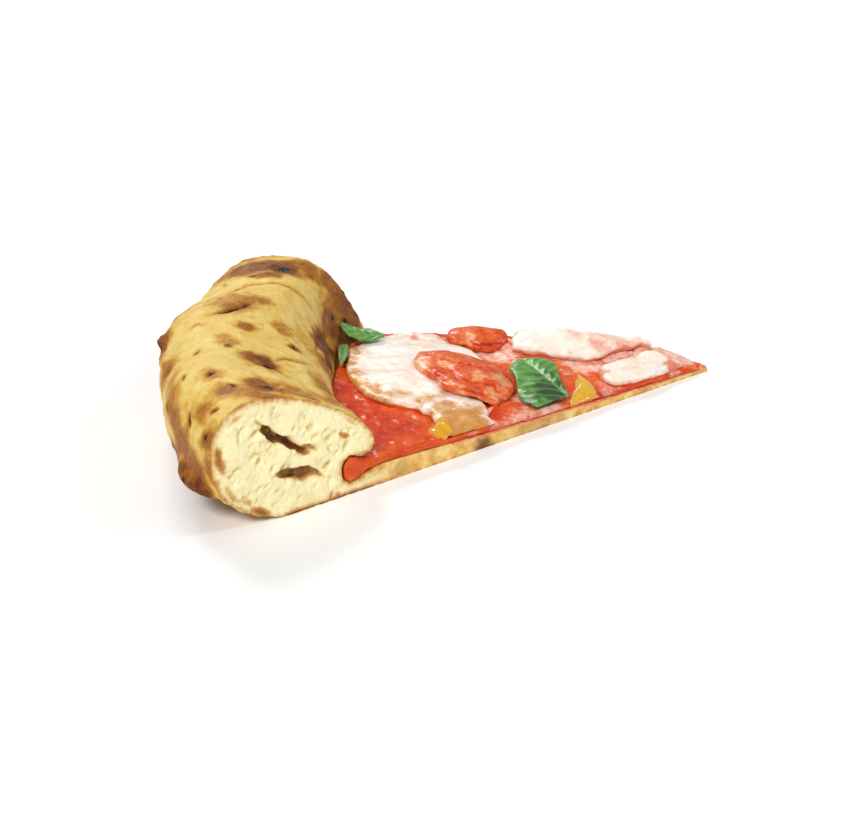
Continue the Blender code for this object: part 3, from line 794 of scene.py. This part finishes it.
sauced = between(t, stirred(t, "sauced", (0.8, 0.3)), 0.3, 0.7)
film = graded(t, speckle(t, 1.5), (0.3, 224, 96, 48), (0.7, 236, 160, 120))
feed(t, shader.inputs["Base Color"], blend(t, sauced, dough_colour, film))
feed(t, shader.inputs["Roughness"], scaled(t, flour_place, 0.25, 0.55))
bump(t, shader, 0.3, 0.85, (1.7, 0.5), (0.7, 0.6), (0.3, 0.45))
dough_tree = tree_of(dough)
serve(dough, "crust_and_base", dough_finish, "baked_dough", "dough")

# %% [markdown]
# ## Layers that melt into each other
# Sauce, cheese and tomato slump in the heat, so each takes the form of what lies
# below it. A ray cast straight down finds that ground. Outlines wander a little,
# thin edges flatten into the ground, and along the far cut the toppings swell
# up, as the wavy outline of the picture shows.

# %% Outline, ground and swelling
SWELLING = 1.0 * MM
PROBE_HEIGHT = 30


def wander(bm, *steps):
    """Moves a layer's outline about sideways, by noises of a size and a reach."""
    for vert in bm.verts:
        fade = smooth_step(min(behind_cuts(vert.co)), 0.4 * MM, 3.5 * MM)
        for size, reach in steps:
            shift = drift(vert.co, size * MM)
            vert.co += Vector((shift.x, shift.y, 0)) * (reach * MM * fade)


def swelling_at(point):
    """How much the toppings swell up along the far cut, short of tip and rim."""
    radius = from_tip(point)
    share = smooth_step(radius, 5 * MM, 16 * MM) * (1 - smooth_step(radius, 75 * MM, 95 * MM))
    return SWELLING * share * (1 - smooth_step(behind_cuts(point)[1], 2 * MM, 9 * MM))


def ground_under(point, below):
    """The height of what carries a point, or a little under it past an edge."""
    hits = [tree.ray_cast(point + UP * PROBE_HEIGHT * MM, -UP)[0] for tree in below]
    return max((hit.z for hit in hits if hit), default=point.z - MM)


def melt_down(bm, below, edge=1.3, sink=0.2):
    """Flattens thin edges into what lies below; returns each point's thickness."""
    thickness = {}
    for vert in bm.verts:
        ground = ground_under(vert.co, below)
        height = max(vert.co.z - ground, 0.0)
        thickness[vert.index] = height
        vert.co.z = ground + height * smooth_step(height, 0, edge * MM) - sink * MM
    return thickness


# %% [markdown]
# ## The sauce
# Crushed tomato spreads over the base and runs into the pocket beside the rim.
# It is a little lumpy with pulp, and one bubble stands beside the tomato. Its
# underside is lowered into the dough, where it would hover. Near the tip it
# thins out and draws back, so that bare dough ends the slice.

# %% Tomato sauce
SUNK = 0.35 * MM
PULL = 4.4 * MM
THINNED_WITHIN = 26 * MM
BUBBLE_RADIUS, BUBBLE_HEIGHT = 2.4 * MM, 0.7 * MM
MILK_STAINS = (
    (480, 352, 4, 0.9), (497, 358, 5, 1.0), (512, 352, 4, 0.9), (520, 362, 3, 0.9),
    (548, 408, 4, 0.8), (512, 412, 4, 0.5), (590, 350, 3, 0.7), (575, 352, 3, 0.8),
    (585, 362, 3, 0.7), (470, 430, 4, 0.5), (350, 342, 3, 0.6), (500, 345, 4, 0.7),
    (645, 388, 3, 0.3), (690, 365, 3, 0.5), (490, 424, 4, 0.55), (528, 412, 4, 0.6),
    (575, 405, 3, 0.5), (700, 368, 3, 0.8), (535, 405, 3, 0.6), (565, 372, 3, 0.5),
    (605, 372, 4, 0.5), (594, 362, 3, 0.7), (640, 350, 4, 0.5), (610, 360, 4, 0.8),
    (626, 357, 4, 0.8), (642, 354, 4, 0.8), (658, 351, 4, 0.8), (672, 354, 4, 0.9),
    (684, 358, 4, 0.9), (676, 374, 3, 0.6), (600, 384, 3, 0.5), (470, 438, 3, 0.6),
    (520, 420, 4, 0.7), (505, 426, 3, 0.6), (560, 410, 3, 0.6), (440, 343, 4, 0.5),
    (518, 398, 4, 0.6), (506, 402, 3, 0.4), (572, 361, 4, 0.9), (586, 368, 4, 0.9),
    (610, 391, 4, 0.6), (560, 355, 4, 0.9), (600, 366, 3, 0.8), (578, 370, 3, 0.7),
    (548, 352, 4, 0.8),
)
# Deeper red where the sauce lies thick, and painted shade at the foot of the rim.
DEEP_RED_AND_SHADE_PLACES = (
    (362, 408, 9, 0.9), (385, 425, 10, 0.7), (350, 392, 6, 0.8), (510, 392, 6, 0.6),
    (600, 395, 5, 0.8), (480, 415, 5, 0.6), (620, 385, 4, 0.7), (345, 350, 5, 0.5),
)
sauce = even_skin("tomato_sauce", 0.5 * MM, "milk", "deep_red_and_shade")
smooth_within_cuts(sauce, 3)
for vert in sauce.verts:
    if vert.normal.z > 0.15:
        lumps = 0.34 * noise.noise(vert.co / (3.1 * MM)) + 0.2 * noise.noise(vert.co / (1.3 * MM))
        vert.co.z += (lumps * MM + swelling_at(vert.co)) * smooth_step(vert.normal.z, 0.15, 0.6)
for vert in sauce.verts:
    vert.co.z -= SUNK * (1 - smooth_step(vert.normal.z, -0.1, 0.6))
    offset = vert.co - TIP
    radius = math.hypot(offset.x, offset.y)
    pull = PULL * (1 - smooth_step(radius, 5 * MM, 19 * MM))
    vert.co -= Vector((offset.x, offset.y, 0)) * (pull / radius)
    ground = ground_under(vert.co, [dough_tree])
    if radius < THINNED_WITHIN and vert.co.z > ground:
        share = smooth_step(radius - pull, 1 * MM, 15 * MM)
        vert.co.z = ground + (vert.co.z - ground) * share - 0.1 * MM * (1 - share)
sauce_finder = finder_of(sauce)
bubble_place = seen_at(tree_of(sauce), 494, 409)
for co, index, distance in sauce_finder.find_range(bubble_place, 1.8 * BUBBLE_RADIUS):
    share = math.exp(-((distance / (0.6 * BUBBLE_RADIUS)) ** 2))
    sauce.verts[index].co.z += BUBBLE_HEIGHT * share
sauce_tree = tree_of(sauce)
stain((sauce, sauce_tree, sauce_finder), "milk", MILK_STAINS)
stain((sauce, sauce_tree, sauce_finder), "deep_red_and_shade", DEEP_RED_AND_SHADE_PLACES)
sauce.normal_update()
print(len(MILK_STAINS), "milk stains and", len(DEEP_RED_AND_SHADE_PLACES), "deep places")

# %% [markdown]
# ## The finish of the sauce
# It is wet, more orange where oil mixed in, deeper red where it lies thick and
# where shade is painted, as at the foot of the rim, and streaked with white
# where cheese melted into it.

# %% Finish: tomato sauce
sauce_finish, t, shader = finish_of(
    "tomato sauce", Roughness=0.26, Specular_IOR_Level=0.24, Subsurface_Weight=0.08,
    Subsurface_Scale=1.0 * MM, Subsurface_Radius=(1.0, 0.25, 0.1), Coat_Weight=0.06,
    Coat_Roughness=0.08,
)
thick_and_shade = stirred(t, scaled(t, "deep_red_and_shade", 0.35, 0.35), (7, 0.9), (2.2, 0.6), (0.8, 0.35))
sauce_colour = graded(
    t, thick_and_shade, (0.0, 232, 112, 30), (0.35, 216, 78, 14), (0.65, 200, 52, 6), (1.0, 160, 30, 6)
)
milk = between(t, stirred(t, "milk", (3, 0.8), (1, 0.7), (0.4, 0.4)), 0.25, 1.05)
milk_colour = graded(t, speckle(t, 2.4), (0.35, 248, 226, 210), (0.65, 238, 180, 152))
sauce_colour = blend(t, scaled(t, milk, 0.9), sauce_colour, milk_colour)
feed(t, shader.inputs["Base Color"], sauce_colour)
bump(t, shader, 0.2, 0.55, (1.3, 0.8), (0.45, 0.35))
serve(sauce, "sauce_layer", sauce_finish, "tomato_sauce", "tomato_sauce")

# %% [markdown]
# ## Melted mozzarella
# Fresh mozzarella melts into soft white pools. Thin edges take up the red of
# the sauce and go pink, thick middles stay milky, and where it faced the fire
# it turned gold. The thickness over the sauce is measured at every point and
# painted, for the finish to read.

# %% Three pools of cheese
TIP_SINK = 0.9 * MM


def melted(node, seed):
    """A pool of cheese with soft lumps, as a canvas for its stains."""
    bm = even_skin(node, 0.42 * MM, "thin", "gold", "pink")
    smooth_within_cuts(bm, 3)
    shift = Vector((seed, 2 * seed, 5))
    for vert in bm.verts:
        if vert.normal.z > 0:
            soft = 0.6 * noise.noise(vert.co / (6 * MM) + shift)
            soft += 0.22 * noise.noise(vert.co / (2.2 * MM) + shift)
            vert.co += vert.normal * (soft * smooth_step(vert.normal.z, 0, 0.5) * MM)
    wander(bm, (7, 1.3), (2.6, 0.7))
    for vert in bm.verts:
        near_tip = 1 - smooth_step(from_tip(vert.co), 8 * MM, 20 * MM)
        vert.co.z += swelling_at(vert.co) - TIP_SINK * near_tip
    thin = layer_of(bm, "thin")
    thickness = melt_down(bm, [sauce_tree])
    bm.verts.ensure_lookup_table()
    for index, height in thickness.items():
        bm.verts[index][thin] = 1 - smooth_step(height, 0.7 * MM, 2.2 * MM)
    smooth_within_cuts(bm, 1)
    return canvas_of(bm)


GOLDEN = (
    (448, 408, 6, 0.8), (458, 415, 7, 1.0), (470, 420, 6, 1.0), (460, 428, 6, 1.0),
    (372, 392, 4, 0.8), (350, 372, 4, 0.8), (352, 352, 4, 0.7), (385, 396, 4.5, 0.7),
    (480, 430, 5, 0.9), (440, 395, 4, 0.5), (405, 395, 4, 0.5), (348, 362, 4, 1.0),
    (352, 380, 4, 1.0), (362, 388, 4, 0.9), (372, 390, 4, 0.9), (350, 345, 3, 0.8),
    (424, 400, 4, 0.6), (465, 412, 6, 1.0), (452, 424, 6, 1.0),
)
PINK_BY_RIM = (
    (380, 337, 4, 0.6), (420, 338, 4, 0.6), (440, 342, 4, 0.5), (410, 375, 4, 0.5),
    (405, 392, 4, 0.3), (478, 428, 3, 0.6), (475, 405, 3, 0.6),
)
PINK_AT_FAR_CUT = (
    (600, 345, 5, 0.7), (630, 350, 5, 0.8), (650, 352, 4, 0.7), (560, 340, 3, 0.4),
    (530, 338, 3, 0.4), (575, 334, 4, 0.6), (598, 337, 4, 0.7), (618, 341, 4, 0.7),
    (548, 347, 4, 0.4), (572, 350, 4, 0.4), (520, 345, 3, 0.4),
)
PINK_AT_TIP = (
    (603, 372, 3, 0.7), (660, 380, 3, 0.6), (672, 365, 3, 0.5), (640, 360, 3, 0.3),
)
HOOK = ((413, 411), (423, 411), (431, 415), (422, 422), (424, 431))
CURLS = (
    ((656, 375), (658, 367), (667, 362), (679, 364), (680, 371)),
    ((598, 368), (605, 358), (619, 354), (628, 348), (645, 347)),
)
rim_cheese = melted("mozzarella_by_rim", 1)
stain(rim_cheese, "gold", GOLDEN)
stain(rim_cheese, "pink", PINK_BY_RIM)
press_line(rim_cheese, HOOK, 0.7, 0.5)
rim_cheese_tree = tree_of(rim_cheese[0])
far_cheese = melted("mozzarella_at_far_cut", 2)
stain(far_cheese, "pink", PINK_AT_FAR_CUT)
tip_cheese = melted("mozzarella_at_tip", 3)
stain(tip_cheese, "pink", PINK_AT_TIP)
for places in CURLS:
    press_line(tip_cheese, places, 0.6, 0.35, "pink", 0.5)
print("three pools of cheese,", len(GOLDEN), "golden spots")

# %% [markdown]
# ## The finish of the cheese
# Light goes deep into mozzarella, so it looks soft. Pink follows the thin edges
# and the painted stains, and gold lies over both.

# %% Finish: melted mozzarella
cheese_finish, t, shader = finish_of(
    "melted mozzarella", Roughness=0.35, Specular_IOR_Level=0.4, Subsurface_Weight=0.3,
    Subsurface_Scale=2.0 * MM, Subsurface_Radius=(1.0, 0.6, 0.4), Coat_Weight=0.15,
    Coat_Roughness=0.15,
)
cheese_colour = graded(
    t, stirred(t, 0.5, (6, 0.9), (1.8, 0.5)),
    (0.3, 252, 244, 234), (0.55, 248, 232, 216), (0.8, 238, 208, 178),
)
pink_amount = scaled(t, "thin", 0.8, "pink")
pink = between(t, stirred(t, pink_amount, (4, 0.7), (1.2, 0.45)), 0.35, 1.1)
cheese_colour = blend(t, scaled(t, pink, 0.9), cheese_colour, paint(226, 112, 72))
gold = between(t, stirred(t, "gold", (3.4, 1.1), (1.1, 0.8), (0.5, 0.4)), 0.12, 0.95)
gold_colour = graded(t, speckle(t, 1.6), (0.3, 216, 154, 60), (0.7, 194, 122, 34))
cheese_colour = blend(t, scaled(t, gold, 0.95), cheese_colour, gold_colour)
feed(t, shader.inputs["Base Color"], cheese_colour)
bump(t, shader, 0.3, 0.45, (2.2, 0.8), (0.7, 0.4))

for canvas, name, node in (
    (rim_cheese, "cheese_by_rim", "mozzarella_by_rim"),
    (far_cheese, "cheese_at_far_cut", "mozzarella_at_far_cut"),
    (tip_cheese, "cheese_at_tip", "mozzarella_at_tip"),
):
    serve(canvas[0], name, cheese_finish, "mozzarella", node)

# %% [markdown]
# ## Soft tomato
# Peeled tomato baked on a pizza slumps into strips. Its flesh has grooves from
# one end to the other, fine fibres between them, and a wet shine. The grooves
# follow the lines of the picture and are painted darker red: painted shade.

# %% Two pieces of tomato
tomato_finish, t, shader = finish_of(
    "soft tomato", Roughness=0.26, Specular_IOR_Level=0.26, Subsurface_Weight=0.1,
    Subsurface_Scale=1.2 * MM, Subsurface_Radius=(1.0, 0.2, 0.1), Coat_Weight=0.12,
    Coat_Roughness=0.06,
)
# Grooves are painted darker red, as painted shade; pale places are lighter.
flesh = scaled(t, "groove_shade", 0.4, scaled(t, "pale", -0.5, 0.4))
flesh = stirred(t, flesh, (5, 0.8), (1.4, 0.6), (0.5, 0.4))
tomato_colour = graded(
    t, flesh, (0.0, 240, 178, 134), (0.3, 226, 106, 50), (0.55, 208, 68, 24), (0.9, 170, 34, 10)
)
feed(t, shader.inputs["Base Color"], tomato_colour)
bump(t, shader, 0.25, 0.6, (1.2, 0.8), (0.4, 0.4))


def soft_tomato(node, name, lines, pale):
    """A slumped piece with grooves along its lines and pale places."""
    bm = even_skin(node, 0.4 * MM, "pale", "groove_shade")
    smooth_within_cuts(bm, 4)
    for vert in bm.verts:
        if vert.normal.z > 0:
            x, y, z = vert.co
            fibre = noise.noise(Vector((x / (4 * MM), y / (1.1 * MM), z / (3 * MM))))
            lump = noise.noise(vert.co / (4.5 * MM) + Vector((6, 6, 1)))
            relief = (0.16 * fibre + 0.4 * lump) * smooth_step(vert.normal.z, 0, 0.5)
            vert.co += vert.normal * (relief * MM)
    wander(bm, (6, 1.2), (2.4, 0.6))
    for vert in bm.verts:
        vert.co.z += swelling_at(vert.co)
    melt_down(bm, [sauce_tree, rim_cheese_tree], edge=1.2, sink=0.25)
    smooth_within_cuts(bm, 1)
    canvas = canvas_of(bm)
    # Each groove is pressed in and painted darker: painted shade.
    for places, width, depth in lines:
        press_line(canvas, places, width, depth, "groove_shade")
    stain((bm, tree_of(bm), canvas[2]), "pale", pale)
    bm.normal_update()
    serve(bm, name, tomato_finish, "soft_tomato", node)


LONG_GROOVES = (
    (((451, 370), (460, 377), (471, 382), (484, 383), (493, 385), (498, 391)), 0.55, 1.0),
    (((456, 388), (466, 389), (477, 392), (488, 395)), 0.5, 0.8),
    (((440, 358), (452, 361), (470, 364), (488, 371)), 0.5, 0.4),
    (((430, 368), (440, 376), (452, 384)), 0.5, 0.4),
)
LONG_PALE = (
    (420, 364, 4, 0.8), (500, 380, 4, 0.5), (465, 395, 3, 0.5), (450, 362, 3, 0.4),
    (478, 374, 3, 0.5), (440, 380, 3, 0.5), (490, 392, 3, 0.5),
)
FAR_GROOVES = ((((470, 341), (480, 344), (491, 344), (502, 341), (510, 340)), 0.5, 0.8),)
FAR_PALE = ((512, 340, 2, 0.4), (470, 338, 2, 0.4))
soft_tomato("tomato_long_piece", "long_tomato", LONG_GROOVES, LONG_PALE)
soft_tomato("tomato_at_far_cut", "far_tomato", FAR_GROOVES, FAR_PALE)

# %% [markdown]
# ## Basil
# A basil leaf is puffed up between its veins, like a quilt. The midrib and the
# side veins are sunk on top, and paler. Both faces of the thin solid move
# alike, so the leaf keeps its thickness. Heat makes it limp at one end. The top
# leaf is painted dark where its half turns down: painted shade. The other leaf
# and the strip get one small dark spot each.

# %% Two leaves and a torn strip
basil_finish, t, shader = finish_of(
    "basil", Specular_IOR_Level=0.45, Subsurface_Weight=0.1, Subsurface_Scale=0.6 * MM,
    Subsurface_Radius=(0.4, 1.0, 0.2), Coat_Weight=0.15, Coat_Roughness=0.25,
)
leaf_colour = graded(
    t, stirred(t, 0.5, (5, 0.9), (1.2, 0.5)),
    (0.2, 62, 120, 44), (0.5, 84, 142, 58), (0.85, 118, 168, 80),
)
# Dark green where painted: painted shade on the top leaf's downturned half, small dark spots on
# the others.
wilt_and_shade = between(t, stirred(t, "wilt_and_shade", (2.6, 0.6), (0.8, 0.4)), 0.3, 0.95)
leaf_colour = blend(t, scaled(t, wilt_and_shade, 0.85), leaf_colour, paint(30, 60, 34))
veins = scaled(t, "vein", 0.55)
leaf_colour = blend(t, veins, leaf_colour, paint(150, 190, 116))
feed(t, shader.inputs["Base Color"], leaf_colour)
feed(t, shader.inputs["Roughness"], scaled(t, speckle(t, 1.5), 0.3, 0.2))
bump(t, shader, 0.12, 0.6, (0.7, 0.7), (0.25, 0.4))


def basil_leaf(node, name, stem, tip, spacing, wilt_and_shade_spots):
    """A leaf whose veins are laid out from its stem to its tip, in millimetres."""
    bm = bmesh.new()
    bm.from_mesh(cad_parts[node].data)
    bmesh.ops.remove_doubles(bm, verts=bm.verts[:], dist=WELD_WITHIN)
    for _ in range(3):
        bmesh.ops.subdivide_edges(bm, edges=bm.edges[:], cuts=1, smooth=0.35, use_grid_fill=True)
        bmesh.ops.triangulate(bm, faces=bm.faces[:])
        soften(bm, bm.verts[:], 0.25)
    start, end = (TIP + Vector((*place, 0)) * MM for place in (stem, tip))
    along = (end - start).normalized()
    aside = UP.cross(along)
    for layer in ("vein", "wilt_and_shade"):
        bm.verts.layers.float.new(layer)
    vein, length = layer_of(bm, "vein"), (end - start).length
    bm.normal_update()
    margin = finder_of(bm, [vert for vert in bm.verts if abs(vert.normal.z) < 0.5])
    for vert in bm.verts:
        way = (vert.co - start).dot(along)
        off = (vert.co - start).dot(aside) - 0.5 * MM * math.sin(way / length * 4)
        slant = (way - 0.7 * abs(off)) / (spacing * MM) + (0.5 if off > 0 else 0)
        beside = abs(slant - round(slant)) * spacing
        midrib = math.exp(-((off / (0.35 * MM)) ** 2))
        fading = 1 - 0.6 * smooth_step(abs(off), 3 * MM, 8 * MM)
        side_vein = math.exp(-((beside / 0.28) ** 2)) * fading
        vert[vein] = max(midrib, 0.7 * side_vein)
        quilt = 0.32 * smooth_step(beside, 0.2, 1.2) * smooth_step(abs(off), 0.3 * MM, 1.6 * MM)
        quilt *= smooth_step(margin.find(vert.co)[2], 0.3 * MM, 2.5 * MM)
        quilt += 0.25 * noise.noise(vert.co / (2.6 * MM))
        vert.co.z += (quilt - 0.25 * midrib - 0.12 * side_vein) * MM
    bm.normal_update()
    stain(canvas_of(bm), "wilt_and_shade", wilt_and_shade_spots)
    serve(bm, name, basil_finish, "basil", node)


# Painted shade on the half of the top leaf that turns down.
TOP_LEAF_SHADE = (
    (548, 388, 5.5, 0.9), (556, 396, 4, 0.9), (545, 376, 4, 0.7), (560, 385, 3, 0.8),
    (535, 398, 4, 0.6), (540, 385, 4, 0.7), (530, 374, 2.5, 0.5),
)
RIM_DARK = ((346, 334, 2.5, 0.6),)
STRIP_DARK = ((342, 360, 2, 0.5),)
basil_leaf("basil_leaf_on_top", "leaf_on_top", (-48.8, -19.2), (-53.4, 1.6), 3.2, TOP_LEAF_SHADE)
basil_leaf("basil_leaf_by_rim", "leaf_by_rim", (-84.2, 23.4), (-94.6, 27.2), 2.4, RIM_DARK)
basil_leaf("basil_strip_by_rim", "torn_strip", (-95, 21.8), (-98.9, 9.2), 2.4, STRIP_DARK)

# %% [markdown]
# ## Olive oil
# Oil gathers in shallow golden pools. Each one follows what lies below it and
# swells smoothly from its outline inwards, with no lumps. It is the glossiest
# thing on the slice, and the sauce shines through a little where it is thin.

# %% Two pools of oil
POOL_GROWTH = 0.16
POOL_SLOPE = 2.4 * MM
POOL_HEIGHT = 1.1
oil_finish, t, shader = finish_of(
    "olive oil", Roughness=0.04, IOR=1.47, Transmission_Weight=0.15, Coat_Weight=0.7,
    Coat_Roughness=0.02,
)
oil_colour = graded(
    t, stirred(t, 0.5, (4, 0.9), (1.1, 0.4)),
    (0.2, 250, 210, 44), (0.5, 244, 190, 24), (0.85, 230, 160, 22),
)
oil_colour = blend(t, scaled(t, "thin", 0.45), oil_colour, paint(230, 130, 36))
feed(t, shader.inputs["Base Color"], oil_colour)
bump(t, shader, 0.3, 0.3, (2.5, 1.0))
for node, name in (("olive_oil_by_leaf", "oil_by_leaf"), ("olive_oil_near_cut", "oil_near_cut")):
    bm = even_skin(node, 0.3 * MM, "thin")
    smooth_within_cuts(bm, 60)
    middle = sum((vert.co for vert in bm.verts), Vector()) / len(bm.verts)
    for vert in bm.verts:
        aside = vert.co - middle
        vert.co += POOL_GROWTH * Vector((aside.x, aside.y, 0))
    wander(bm, (7, 0.8))
    rim_of_pool = kdtree.KDTree(len(bm.verts))
    for vert in bm.verts:
        if abs(vert.normal.z) < 0.45:
            rim_of_pool.insert(Vector((vert.co.x, vert.co.y, 0)), vert.index)
    rim_of_pool.balance()
    thin = layer_of(bm, "thin")
    for vert in bm.verts:
        inward = rim_of_pool.find(Vector((vert.co.x, vert.co.y, 0)))[2]
        swelling = math.sin(0.5 * math.pi * min(inward / POOL_SLOPE, 1.0))
        vert[thin] = 1 - swelling
        height = POOL_HEIGHT * swelling - 0.05 if vert.normal.z > 0.3 else -0.25
        vert.co.z = ground_under(vert.co, [sauce_tree, rim_cheese_tree]) + height * MM
    smooth_within_cuts(bm, 10)
    serve(bm, name, oil_finish, "olive_oil", node)

# %% [markdown]
# ## Table and light
# The picture has a plain white ground, so the table is nearly white, with large
# soft lamps. One lamp from the upper left in front gives the crumb its light,
# one from the right puts a shine on the sauce and cheese, and the pale world
# fills the shadows.

# %% Floor, lamps and world
floor_bm = bmesh.new()
bmesh.ops.create_grid(floor_bm, x_segments=1, y_segments=1, size=3)
floor_mesh = bpy.data.meshes.new("table")
floor_bm.to_mesh(floor_mesh)
floor_bm.free()
floor = add_object("table", floor_mesh)
floor.location.z = cad_box[0][2]
floor_finish, t, shader = finish_of("white table", Roughness=0.9, Specular_IOR_Level=0.1)
feed(t, shader.inputs["Base Color"], graded(
    t, speckle(t, 60), (0.0, 250, 250, 250), (1.0, 253, 253, 253)
))
floor_mesh.materials.append(floor_finish)


def lamp(name, place, size, power):
    data = bpy.data.lights.new(name, "AREA")
    data.size, data.energy = size, power
    made = add_object(name, data)
    made.location = place
    made.rotation_euler = (Vector(place) - AIM).to_track_quat("Z", "Y").to_euler()


lamp("front lamp", (-1.1, -1.5, 1.7), 0.6, 40)
lamp("side lamp", (1.5, -0.5, 1.5), 0.5, 10)
lamp("back lamp", (-0.2, 1.7, 1.6), 0.9, 26)
world = bpy.data.worlds.new("pale room")
world.use_nodes = True
world.node_tree.nodes["Background"].inputs["Color"].default_value = (1, 1, 1, 1)
world.node_tree.nodes["Background"].inputs["Strength"].default_value = 0.28
bpy.context.scene.world = world
bpy.context.scene.view_settings.view_transform = "Standard"
